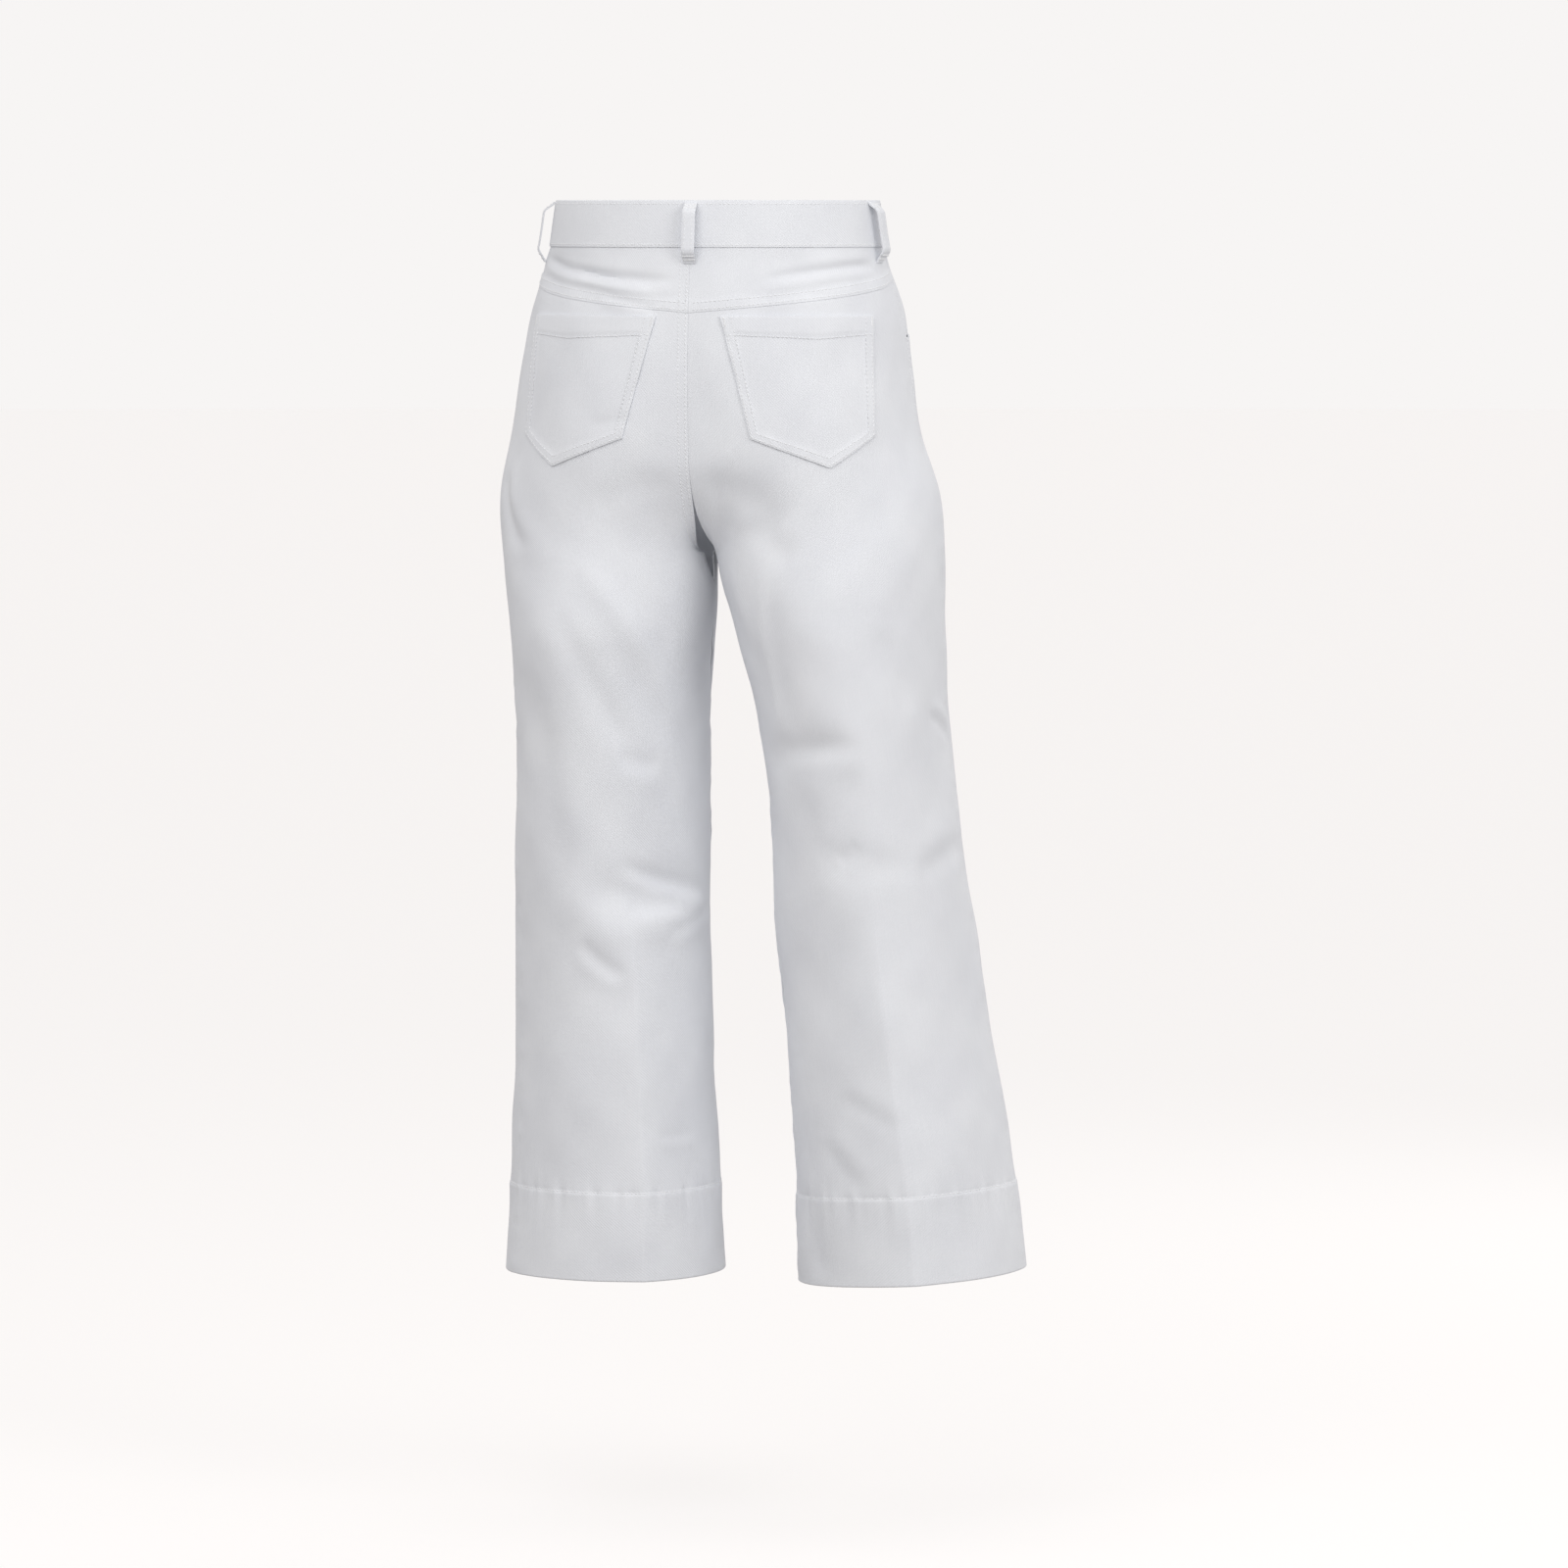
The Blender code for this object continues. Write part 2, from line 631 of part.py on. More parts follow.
def belt_loop(name, side, distance, from_back):
    """A strap tacked above and below the band, which stands off between its ends."""
    lowest = BAND_THICK / 2.0 + SEAM_GAP
    steps = np.linspace(0.0, 1.0, 13)
    level = LOOP_TOP + (LOOP_BOTTOM - LOOP_TOP) * steps
    bow = smooth(steps / LOOP_TACK_SHARE) * smooth((1.0 - steps) / LOOP_TACK_SHARE)
    off_band = lowest + LOOP_STANDS_OFF * bow
    settle = smooth((BAND_BOTTOM - level) / (BAND_BOTTOM - LOOP_BOTTOM))
    lift = off_band - (BAND_THICK / 2.0) * settle * (1.0 - bow)
    middle = around_at(side, distance, np.array(0.0), from_back)
    outer = []
    inner = []
    for across in (-LOOP_WIDE / 2.0, 0.0, LOOP_WIDE / 2.0):
        around = middle + degrees_for(side, middle, level, 1.0) * across
        over_middle = np.abs(around) > 180.0
        around = np.where(over_middle, np.sign(around) * 360.0 - around, around)
        column_side = -side if over_middle.any() else side
        outer.append(skin(column_side, around, level, lift + STRAP_THICK))
        inner.append(skin(column_side, around, level, lift))
    return wall(name, np.stack(outer, axis=1), np.stack(inner, axis=1), flip=side < 0)


def button(name):
    """A domed disc on a short shank, turned round an axis square to the band's front."""
    ring = np.linspace(0.0, 2.0 * np.pi, 24, endpoint=False)
    lift = BAND_THICK / 2.0 + SEAM_GAP
    seat = skin(1, np.array(-180.0), np.array(0.0), lift)
    axis = skin(1, np.array(-180.0), np.array(0.0), lift + 1.0) - seat
    across = np.array([1.0, 0.0, 0.0])
    upward = np.cross(across, axis)
    seat[0] = 0.0
    profile = [
        (BUTTON_SHANK_RADIUS, 0.0),
        (BUTTON_SHANK_RADIUS, BUTTON_HIGH * 0.35),
        (BUTTON_RADIUS * 0.94, BUTTON_HIGH * 0.38),
        (BUTTON_RADIUS, BUTTON_HIGH * 0.60),
        (BUTTON_RADIUS * 0.86, BUTTON_HIGH * 0.84),
        (BUTTON_RADIUS * 0.45, BUTTON_HIGH),
    ]
    points = []
    for radius, out in profile:
        circle = np.cos(ring)[:, None] * across + np.sin(ring)[:, None] * upward
        points.extend(seat + radius * circle + out * axis)
    faces = []
    count = len(ring)
    for level in range(len(profile) - 1):
        for index in range(count):
            a = level * count + index
            b = level * count + (index + 1) % count
            faces.append((a, a + count, b + count, b))
    faces.append(tuple(range(count)))
    last = (len(profile) - 1) * count
    faces.append(tuple(range(last, last + count))[::-1])
    return add_object(name, points, faces, BRUSHED_METAL, 0.35, 1.0)


def main():
    remove_everything()
    for side, word in ((1, "left"), (-1, "right")):
        back_panel("back_" + word, side)
        front_panel("front_" + word, side)
        yoke("yoke_" + word, side)
        back_pocket("back_pocket_" + word, side)
        pocket_facing("pocket_facing_" + word, side)
        belt_loop("loop_side_" + word, side, SIDE_LOOP_FROM_BACK, True)
        belt_loop("loop_front_" + word, side, FRONT_LOOP_FROM_FRONT, False)
    belt_loop("loop_back", 1, 0.0, True)
    waistband("waistband")
    fly_shield("fly_shield")
    button("waist_button")


main()
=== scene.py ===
"""The looks of a pair of wide leg jeans: fine cloth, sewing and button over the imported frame.

Metres, +Z up. The front faces -Y, and the jeans' own left is +X. The cloth's surface is the one
that the frame's solids were made from: "around" is an angle round each half, from -180 at the
centre front and the inseam, past 0 at the side, to 180 at the centre back, and "height" is up.
"""

import bpy
import numpy as np
from mathutils import Matrix


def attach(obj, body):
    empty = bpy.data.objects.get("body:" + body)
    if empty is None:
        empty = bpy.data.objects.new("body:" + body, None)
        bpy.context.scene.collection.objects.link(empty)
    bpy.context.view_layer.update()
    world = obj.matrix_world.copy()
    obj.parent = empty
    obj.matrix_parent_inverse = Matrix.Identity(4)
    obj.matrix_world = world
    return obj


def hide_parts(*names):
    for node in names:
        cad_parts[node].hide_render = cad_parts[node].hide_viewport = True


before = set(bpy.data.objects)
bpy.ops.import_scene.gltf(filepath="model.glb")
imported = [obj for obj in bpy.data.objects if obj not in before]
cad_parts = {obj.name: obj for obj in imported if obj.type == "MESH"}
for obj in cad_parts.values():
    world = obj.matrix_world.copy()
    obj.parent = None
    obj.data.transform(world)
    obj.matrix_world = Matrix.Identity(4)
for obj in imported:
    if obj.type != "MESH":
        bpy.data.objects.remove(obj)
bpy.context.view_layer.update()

bl_info = {
    "name": "Wide leg jeans",
    "version": (1, 0, 0),
    "blender": (4, 5, 0),
    "location": "View3D > Sidebar > Jeans",
    "description": "Makes the cloth, sewing and button of a pair of wide leg jeans, and their stage",
    "category": "Add Mesh",
}

BODY = "root"
SIDES = ((1, "left"), (-1, "right"))

# ---- how close a height is to the crotch's own, the angle from which a place lies on the mid
# plane, and the angle from which an edge is sharp, in metres and degrees
AT_CROTCH = 1e-6
NEAR_MID_PLANE = 179.9
SHARP_EDGE = 50.0

# ---- cloth and gaps. The solids leave 0.3 mm open at a seam, and the dressed cloth 0.1 mm.
CLOTH = 0.0012
SEAM_GAP = 0.0001
BEHIND_GAP = 0.0009
BAND_THICK = 0.0024
STRAP_THICK = 0.0015
FOLD_GAP = 0.0001

# ---- heights
BAND_TOP = 0.0205
BAND_BOTTOM = -0.0205
UNDER_BAND = BAND_BOTTOM - SEAM_GAP
YOKE_AT_SIDE = -0.050
YOKE_AT_BACK = -0.0775
YOKE_SEAM_CURVE = 0.8
CROTCH = -0.290
HEM = -0.929
HEM_DEEP = 0.078
ABOVE_HEM = HEM + HEM_DEEP

# ---- the crotch curve, and where the body's oval turns into the legs' tubes
RISE_CURVE_FRONT = 0.105
RISE_CURVE_BACK = 0.085
BLEND_TOP = -0.190
BLEND_BOTTOM = -0.370
BLEND_START_AROUND = 75.0
CROTCH_SOFTNESS = 0.9

# ---- seams
SIDE_SEAM_TURN = 10.0
SIDE_SEAM_TURN_FROM = -0.22
SIDE_SEAM_TURN_TO = -0.60
SCOOP_BOTTOM = -0.100
SCOOP_FROM_CENTRE = 0.088
FACING_BEHIND_FRONT = 0.022
FACING_BOTTOM = -0.135
FACING_CORNER_EASE = 0.004
FACING_SEWN_IN = 0.002
FACING_SEWN_EASE = 0.010
FLY_BOTTOM = -0.175
FLY_LEFT = 0.012
FLY_RIGHT = 0.030

# ---- back pockets: distance from the centre back and height of each corner
POCKET_INNER_TOP = (0.029, -0.0805)
POCKET_OUTER_TOP = (0.170, -0.0805)
POCKET_OUTER_BOTTOM = (0.173, -0.185)
POCKET_POINT = (0.127, -0.2125)
POCKET_INNER_BOTTOM = (0.058, -0.187)
POCKET_WIDE = 0.14
POCKET_DEEP = 0.12
POCKET_MOUTH_ROW_SHARE = 0.150
POCKET_PUCKER_HIGH = 0.00035
POCKET_PUCKER_FADE = 0.010
POCKET_FULL_SHARE = 0.16
POCKET_SEAM_LIFT = 0.0002
POCKET_TACK_FROM, POCKET_TACK_TO = 0.01, 0.085
POCKET_TACK_AT = (0.018, 0.982)

# ---- turned and felled edges: how wide they are, how high they stand, and over what they ease
TURNED_WIDE = 0.011
TURNED_EASE = 0.003
FELLED_HIGH = 0.0006
POCKET_TURNED_HIGH = 0.0007
MOUTH_HEM_WIDE = 0.017
MOUTH_HEM_EASE = 0.002
MOUTH_HEM_HIGH = 0.0009
EDGE_DIP = 0.0002
EDGE_DIP_WIDE = 0.0008

# ---- the hem's row of sewing: its groove, the proud cloth below it and the puckers' fade
HEM_GROOVE_DEEP = 0.0004
HEM_GROOVE_WIDE = 0.0016
HEM_PROUD = 0.0007
HEM_PROUD_OVER = 0.005
PUCKER_FADE_BELOW = 0.016
PUCKER_FADE_ABOVE = 0.006
SEAM_PUCKER_SHARE = 0.45
SEAM_PUCKER_FADE = 0.007
SEWN_ABOVE_HEM = 0.05
INSEAM_EASE = 0.02
MID_PLANE_EASE = 14.0
UNDER_BAND_EASE = 0.012

# ---- fly: its stitched curve, and how far the mouth's rows turn in at the side seam
FLY_WIDE = 0.038
FLY_CURVE_HIGH = 0.045
MOUTH_ROW_TURN = 30.0

# ---- where rows of sewing end. They stop a little short of the edges that they run to.
ROWS_FROM_BAND = UNDER_BAND - 0.001
SEAT_ROW_ENDS = (UNDER_BAND - 0.002, CROTCH + 0.006)
BELOW_FLY_ENDS = (FLY_BOTTOM - 0.002, CROTCH + 0.004)
SIDE_ROW_ENDS = (YOKE_AT_SIDE - 0.004, -0.165)
YOKE_ROW_ENDS = (2.0, 178.0)
POCKET_MOUTH_ROW_ENDS = (0.02, 0.98)
LOOP_ROW_ENDS = (0.03, 0.97)
LOOP_TACK_ENDS = (-0.45, 0.45)
BAND_ROW = slice(2, -40)
FELLED_EASE = 0.002

# ---- waistband lap, loops and button
LAP_OVER = 0.016
LAP_UNDER = 0.034
LAP_SLOPE_START = 0.044
LAP_SLOPE_END = 0.020
BAND_BULGE = 0.0003
LOOP_WIDE = 0.011
LOOP_STANDS_OFF = 0.0084
LOOP_TOP = 0.0185
LOOP_BOTTOM = -0.0345
LOOP_LONG = LOOP_TOP - LOOP_BOTTOM
LOOP_TACK_SHARE = 0.2
LOOP_FOLD_WIDE = 0.009
LOOP_FOLD_EASE = 0.002
LOOP_FOLD_HIGH = 0.0008
LOOP_EDGE_DIP = 0.0005
LOOP_END_DIP_WIDE = 0.0009
LOOP_ROW_FROM_MIDDLE = LOOP_WIDE * 0.27
LOOP_ROW_SUNK = 0.0002
LOOP_ROW_FOLD, LOOP_ROW_FOLD_EASE = 0.17, 0.04
LOOP_TACK_AT = (0.055, 0.105, 0.895, 0.945)
SIDE_LOOP_FROM_BACK = 0.176
FRONT_LOOP_FROM_FRONT = 0.056
BUTTON_RADIUS = 0.0085
BUTTON_HIGH = 0.0042
BUTTONHOLE_HALF = 0.011
BUTTONHOLE_WIDE = 0.0016
BUTTONHOLE_PAST_CENTRE = 0.2

# ---- rows and columns of the cloth's grids, and sides of a stitch and of round pieces
BEAD_SIDES = 6
BUTTON_SIDES = 72
FLOOR_SIDES = 96
LEG_COLUMNS = 112
LEG_ROWS = 128
PLACE_OF_CREASE = (0.30, 0.62)
NEAR_EDGE = (0.0, 0.002, 0.005, 0.010, 0.016)
NEAR_LOOP_END = (0.0, 0.006, 0.014)
NEAR_LOOP_SIDE = (0.0, 0.03, 0.08)
NEAR_CREASE = (-0.006, -0.002, 0.002, 0.006)
NEAR_YOKE = (0.0, 0.0006, 0.0015)
NEAR_SCOOP_BOTTOM = 0.006
BELOW_CROTCH = 0.003
HEM_ROW_ABOVE, HEM_ROW_BELOW = 0.005, 0.006
HEM_EDGE_ROUND = 0.0012
TURN_CLEAR = 0.004


def table(names, rows):
    """Named columns of a short table whose rows run downwards."""
    return dict(zip(names.split(), np.array(rows, float).T))


# Halves of the body above the legs. "down" is measured from the origin.
TORSO = table("down left right front back seat valley", [
    (-0.021, 0.1435, 0.1445, 0.098, 0.096, 0.000, 0.000),
    (0.027, 0.1510, 0.1525, 0.103, 0.102, 0.000, 0.000),
    (0.079, 0.1665, 0.1685, 0.108, 0.110, 0.003, 0.001),
    (0.131, 0.1765, 0.1755, 0.112, 0.116, 0.007, 0.004),
    (0.183, 0.1845, 0.1840, 0.114, 0.118, 0.010, 0.008),
    (0.236, 0.1955, 0.1985, 0.115, 0.116, 0.009, 0.012),
    (0.290, 0.1910, 0.2060, 0.115, 0.112, 0.005, 0.012),
    (0.400, 0.1800, 0.2080, 0.112, 0.108, 0.000, 0.000),
])

# Legs: an ellipse "out" from the mid plane and "aft" of it, turned by "turn" degrees.
LEFT_LEG = table("down out aft half deep turn", [
    (0.180, 0.0957, 0.014, 0.0955, 0.114, 0.0),
    (0.290, 0.0957, 0.014, 0.0955, 0.114, 0.0),
    (0.345, 0.0925, 0.010, 0.0905, 0.111, 5.0),
    (0.410, 0.0928, 0.006, 0.0850, 0.106, 12.0),
    (0.500, 0.0930, 0.004, 0.0855, 0.101, 18.0),
    (0.600, 0.0948, 0.004, 0.0860, 0.098, 24.0),
    (0.730, 0.0928, 0.006, 0.0880, 0.098, 27.0),
    (0.850, 0.0908, 0.008, 0.0930, 0.100, 27.0),
    (0.940, 0.0896, 0.010, 0.0980, 0.102, 27.0),
])
RIGHT_LEG = table("down out aft half deep turn", [
    (0.180, 0.1020, 0.014, 0.1018, 0.114, 0.0),
    (0.290, 0.1030, 0.014, 0.1020, 0.114, 0.0),
    (0.345, 0.1116, 0.010, 0.0935, 0.111, -4.0),
    (0.410, 0.1216, 0.006, 0.0853, 0.106, -9.0),
    (0.500, 0.1330, 0.002, 0.0815, 0.101, -12.0),
    (0.600, 0.1420, 0.000, 0.0865, 0.098, -13.0),
    (0.730, 0.1578, 0.000, 0.0905, 0.098, -13.0),
    (0.850, 0.1715, 0.000, 0.0970, 0.100, -13.0),
    (0.940, 0.1785, 0.000, 0.1010, 0.102, -13.0),
])
LEG = {1: LEFT_LEG, -1: RIGHT_LEG}
TORSO_SIDE = {1: "left", -1: "right"}
HEM_TILT = {1: 0.0, -1: 0.066}
HEM_TILT_ABOUT = 0.16

# Ridges that run down the legs: pressed creases, and the fold that the hip pulls round.
FRONT_CREASE = table("down around high reach", [
    (0.300, -90.0, 0.000, 60.0),
    (0.450, -90.0, 0.005, 64.0),
    (0.600, -90.0, 0.009, 68.0),
    (0.940, -90.0, 0.011, 70.0),
])
RIDGES = {
    1: [
        table("down around high reach", [
            (0.300, 50.0, 0.000, 60.0),
            (0.350, 54.0, 0.006, 58.0),
            (0.470, 58.0, 0.009, 58.0),
            (0.583, 63.0, 0.009, 62.0),
            (0.655, 89.0, 0.009, 66.0),
            (0.720, 90.0, 0.010, 68.0),
            (0.940, 90.0, 0.011, 70.0),
        ]),
        FRONT_CREASE,
    ],
    -1: [
        table("down around high reach", [
            (0.340, 82.0, 0.000, 60.0),
            (0.420, 86.0, 0.006, 64.0),
            (0.550, 90.0, 0.010, 68.0),
            (0.940, 90.0, 0.011, 70.0),
        ]),
        FRONT_CREASE,
    ],
}

# The largest folds that run across, as in the solids. A trough's "high" is below 0.
CROSS_FOLDS = {
    1: table("start start_down end end_down wide high", [
        (20.0, 0.045, 150.0, 0.063, 0.010, -0.0020),
        (60.0, 0.590, 150.0, 0.580, 0.018, -0.0045),
        (70.0, 0.625, 160.0, 0.606, 0.014, 0.0030),
        (-150.0, 0.262, -60.0, 0.236, 0.014, -0.0035),
        (-160.0, 0.290, -70.0, 0.285, 0.012, 0.0025),
        (-140.0, 0.560, -50.0, 0.585, 0.020, -0.0035),
    ]),
    -1: table("start start_down end end_down wide high", [
        (20.0, 0.040, 120.0, 0.055, 0.010, -0.0020),
        (85.0, 0.452, 160.0, 0.470, 0.016, -0.0040),
        (60.0, 0.560, 120.0, 0.556, 0.016, -0.0025),
        (-150.0, 0.262, -60.0, 0.240, 0.014, -0.0035),
        (-140.0, 0.520, -50.0, 0.540, 0.020, -0.0035),
    ]),
}

# The bell beside a crease: how far from it and how wide, as shares of the crease, and how soon
# the crease reaches its full height from its ends
LIP_AWAY, LIP_WIDE, CREASE_EASE = 1.7, 1.2, 1.3

# Soft creases of the dressed cloth, from one place to another, bowed by "bend" and "wide" to each
# side. A trough's "high" is below 0, and "lip" is the share of it that stands up beside it.
CREASES = {
    1: table("around down end_around end_down bend wide high lip", [
        (28.0, 0.029, 176.0, 0.050, 0.004, 0.0042, -0.0032, 0.6),
        (84.0, 0.038, 166.0, 0.056, 0.002, 0.0036, -0.0020, 0.5),
        (118.0, 0.062, 160.0, 0.074, 0.000, 0.0035, -0.0010, 0.8),
        (120.0, 0.176, 150.0, 0.170, 0.000, 0.0060, -0.0008, 0.4),
        (176.0, 0.226, 120.0, 0.250, 0.006, 0.0110, -0.0010, 0.3),
        (60.0, 0.290, 40.0, 0.215, -0.006, 0.0130, -0.0030, 0.3),
        (98.0, 0.282, 140.0, 0.450, 0.006, 0.0150, 0.0024, 0.4),
        (70.0, 0.335, 104.0, 0.470, 0.004, 0.0130, -0.0022, 0.4),
        (40.0, 0.380, 56.0, 0.610, -0.006, 0.0190, -0.0026, 0.1),
        (92.0, 0.466, 120.0, 0.476, 0.002, 0.0090, -0.0020, 0.5),
        (84.0, 0.560, 158.0, 0.590, 0.004, 0.0070, -0.0026, 0.8),
        (88.0, 0.604, 130.0, 0.600, -0.003, 0.0060, -0.0014, 0.8),
        (112.0, 0.624, 165.0, 0.602, 0.003, 0.0060, -0.0014, 0.7),
        (62.0, 0.628, 88.0, 0.662, 0.004, 0.0070, -0.0018, 0.5),
        (20.0, 0.740, 44.0, 0.850, 0.003, 0.0140, -0.0008, 0.4),
        (98.0, 0.802, 132.0, 0.803, 0.001, 0.0040, -0.0007, 0.9),
        (-20.0, 0.240, -130.0, 0.276, 0.006, 0.0080, -0.0024, 0.6),
        (-60.0, 0.330, -150.0, 0.312, 0.004, 0.0100, -0.0020, 0.5),
        (-105.0, 0.330, -70.0, 0.500, -0.005, 0.0140, 0.0022, 0.3),
        (-120.0, 0.548, -44.0, 0.566, 0.004, 0.0080, -0.0024, 0.7),
        (-140.0, 0.604, -66.0, 0.592, -0.004, 0.0070, -0.0018, 0.8),
        (-30.0, 0.640, -88.0, 0.690, 0.004, 0.0090, -0.0014, 0.5),
        (-150.0, 0.770, -110.0, 0.815, 0.003, 0.0090, -0.0010, 0.5),
    ]),
    -1: table("around down end_around end_down bend wide high lip", [
        (30.0, 0.036, 136.0, 0.050, -0.003, 0.0042, -0.0028, 0.5),
        (84.0, 0.060, 150.0, 0.066, 0.000, 0.0040, -0.0008, 0.7),
        (178.0, 0.222, 118.0, 0.272, 0.008, 0.0150, -0.0028, 0.3),
        (171.0, 0.215, 152.0, 0.390, 0.004, 0.0170, -0.0040, 0.2),
        (150.0, 0.262, 104.0, 0.300, 0.004, 0.0120, -0.0018, 0.4),
        (122.0, 0.296, 136.0, 0.450, -0.003, 0.0080, 0.0016, 0.4),
        (80.0, 0.452, 146.0, 0.458, 0.001, 0.0085, -0.0014, 0.5),
        (90.0, 0.470, 96.0, 0.560, 0.000, 0.0120, -0.0009, 0.3),
        (116.0, 0.480, 110.0, 0.548, 0.000, 0.0140, 0.0010, 0.4),
        (92.0, 0.540, 106.0, 0.556, 0.001, 0.0080, -0.0012, 0.5),
        (34.0, 0.430, 8.0, 0.452, 0.002, 0.0060, -0.0018, 0.8),
        (56.0, 0.350, 48.0, 0.430, 0.000, 0.0120, -0.0012, 0.4),
        (64.0, 0.570, 10.0, 0.546, 0.003, 0.0110, -0.0020, 0.5),
        (122.0, 0.760, 88.0, 0.795, 0.002, 0.0080, -0.0009, 0.6),
        (134.0, 0.800, 112.0, 0.845, 0.000, 0.0090, -0.0014, 0.5),
        (150.0, 0.840, 142.0, 0.925, 0.000, 0.0120, -0.0020, 0.2),
        (-24.0, 0.236, -140.0, 0.272, 0.006, 0.0080, -0.0024, 0.6),
        (-50.0, 0.326, -150.0, 0.318, 0.004, 0.0100, -0.0020, 0.5),
        (-100.0, 0.320, -72.0, 0.480, -0.004, 0.0140, 0.0020, 0.3),
        (-132.0, 0.508, -48.0, 0.530, 0.004, 0.0080, -0.0024, 0.7),
        (-126.0, 0.570, -60.0, 0.560, -0.003, 0.0070, -0.0016, 0.8),
        (-36.0, 0.610, -90.0, 0.650, 0.004, 0.0090, -0.0014, 0.5),
        (-60.0, 0.780, -100.0, 0.810, 0.003, 0.0080, -0.0010, 0.5),
    ]),
}

# Broad unevenness of washed cloth: waves by their cycles a metre round and up, phase and height.
UNEVENNESS = table("round up phase high", [
    (5.3, 2.1, 0.4, 0.00055),
    (-3.1, 7.7, 1.9, 0.00045),
    (9.7, -6.1, 3.1, 0.00035),
    (14.3, 11.9, 5.0, 0.00022),
    (-21.0, 17.0, 0.9, 0.00014),
])

# Puckers beside a row of sewing: cycles a metre, phase and share. Their troughs are cut off.
PUCKER_LOWEST = -0.9
PUCKERS = table("cycles phase share", [
    (61.0, 0.3, 0.50),
    (97.0, 2.2, 0.30),
    (37.0, 4.1, 0.45),
    (11.0, 1.0, 0.35),
])

# The seat's mound on each side and the valley between them: middle and spread, in degrees
MOUND_AT, MOUND_SPREAD = 108.0, 42.0
VALLEY_AT, VALLEY_SPREAD = 180.0, 34.0

# Where the ridges turn into pressed creases, and how round their crests are
PRESSED_FROM = -0.560
PRESSED_OVER = 0.130
PRESSED_AT = 90.0
PRESSED_REACH = 34.0
PRESSED_HIGH = 0.0028
CREST_AT_THIGH = 0.22
CREST_AT_HEM = 0.010

# The groove along the back seam above the crotch
CLEFT_TOP = -0.205
CLEFT_FOOT = -0.325
CLEFT_DEEP = 0.0085
CLEFT_WIDE = 0.014

# Stage: a lamp's highest power in watts, what the camera looks at, right of the origin and above
# it, the height of the floor and the sizes of its rings.
# Each lamp has its name, its place right of that point, towards the camera and above it, its
# size, and the setting that holds its power.
STRONGEST_LAMP = 2000.0
LOOK_RIGHT = 0.0591
LOOK_UP = -0.4965
FLOOR_AT = -1.15
FLOOR_RINGS = (0.6, 2.0, 6.0, 40.0)
LAMPS = (
    ("key", (2.0, 2.3, 1.0), 1.6, "key_power"),
    ("fill", (-0.8, 2.2, 1.5), 2.4, "fill_power"),
    ("far side", (1.9, -2.3, 1.0), 1.6, "far_power"),
)

# The button's outline, from its foot to its crown, as shares of its radius and height
BUTTON_OUTLINE = (
    (0.0, 0.0), (0.38, 0.0), (0.40, 0.05), (0.40, 0.30), (0.46, 0.36), (0.90, 0.36),
    (0.97, 0.42), (1.00, 0.55), (0.99, 0.70), (0.94, 0.84), (0.86, 0.90), (0.78, 0.86),
    (0.73, 0.76), (0.68, 0.72), (0.60, 0.76), (0.45, 0.86), (0.25, 0.95), (0.0, 0.99),
)

# Steps over which slopes are taken, and metres round a leg for each degree
STEP_AROUND = 0.2
STEP_HEIGHT = 0.0008
METRES_A_DEGREE = 0.0016


# ---------------------------------------------------------------- the cloth's surface

def smooth(t):
    """Eases from 0 to 1 as t goes from 0 to 1: three t squared less two t cubed."""
    t = np.clip(t, 0.0, 1.0)
    return t * t * (3.0 - 2.0 * t)


def read(columns, name, height):
    """A column's value at a height, on a cubic curve through its rows."""
    downs = columns["down"]
    values = columns[name]
    slopes = np.gradient(values, downs)
    down = np.clip(-np.asarray(height, float), downs[0], downs[-1])
    row = np.clip(np.searchsorted(downs, down) - 1, 0, len(downs) - 2)
    span = downs[row + 1] - downs[row]
    t = (down - downs[row]) / span
    start = (1.0 + 2.0 * t) * (1.0 - t) ** 2 * values[row]
    start_slope = t * (1.0 - t) ** 2 * span * slopes[row]
    end = t ** 2 * (3.0 - 2.0 * t) * values[row + 1]
    end_slope = t ** 2 * (t - 1.0) * span * slopes[row + 1]
    return start + start_slope + end + end_slope


def torso_point(side, around, height):
    """Half an oval from centre front to centre back, with the seat's mound and its valley."""
    half = read(TORSO, TORSO_SIDE[side], height)
    deep = np.where(around < 0.0, read(TORSO, "front", height), read(TORSO, "back", height))
    angle = np.radians(around / 2.0)
    mound = np.exp(-((around - MOUND_AT) / MOUND_SPREAD) ** 2)
    valley = np.exp(-((around - VALLEY_AT) / VALLEY_SPREAD) ** 2)
    relief = read(TORSO, "seat", height) * mound - read(TORSO, "valley", height) * valley
    return half * np.cos(angle), deep * np.sin(angle) + relief


def leg_point(side, around, height):
    """An ellipse round the leg's own axis, drawn out to its creases and ridges.

    A ridge falls away as the square of what is left of its reach. Its crest is rounded by a
    root of squares, more at the thigh than where the iron pressed it.
    """
    leg = LEG[side]
    angle = np.radians(around + read(leg, "turn", height))
    pressed = smooth((PRESSED_FROM - height) / PRESSED_OVER)
    roundness = CREST_AT_THIGH + (CREST_AT_HEM - CREST_AT_THIGH) * pressed
    ridge = 0.0
    for columns in RIDGES[side]:
        away = (around - read(columns, "around", height)) / read(columns, "reach", height)
        away = np.sqrt(away ** 2 + roundness ** 2) - roundness
        ridge = ridge + read(columns, "high", height) * np.clip(1.0 - away, 0.0, 1.0) ** 2
    out = read(leg, "out", height) + (read(leg, "half", height) + ridge) * np.cos(angle)
    back = read(leg, "aft", height) + (read(leg, "deep", height) + ridge) * np.sin(angle)
    return out, back


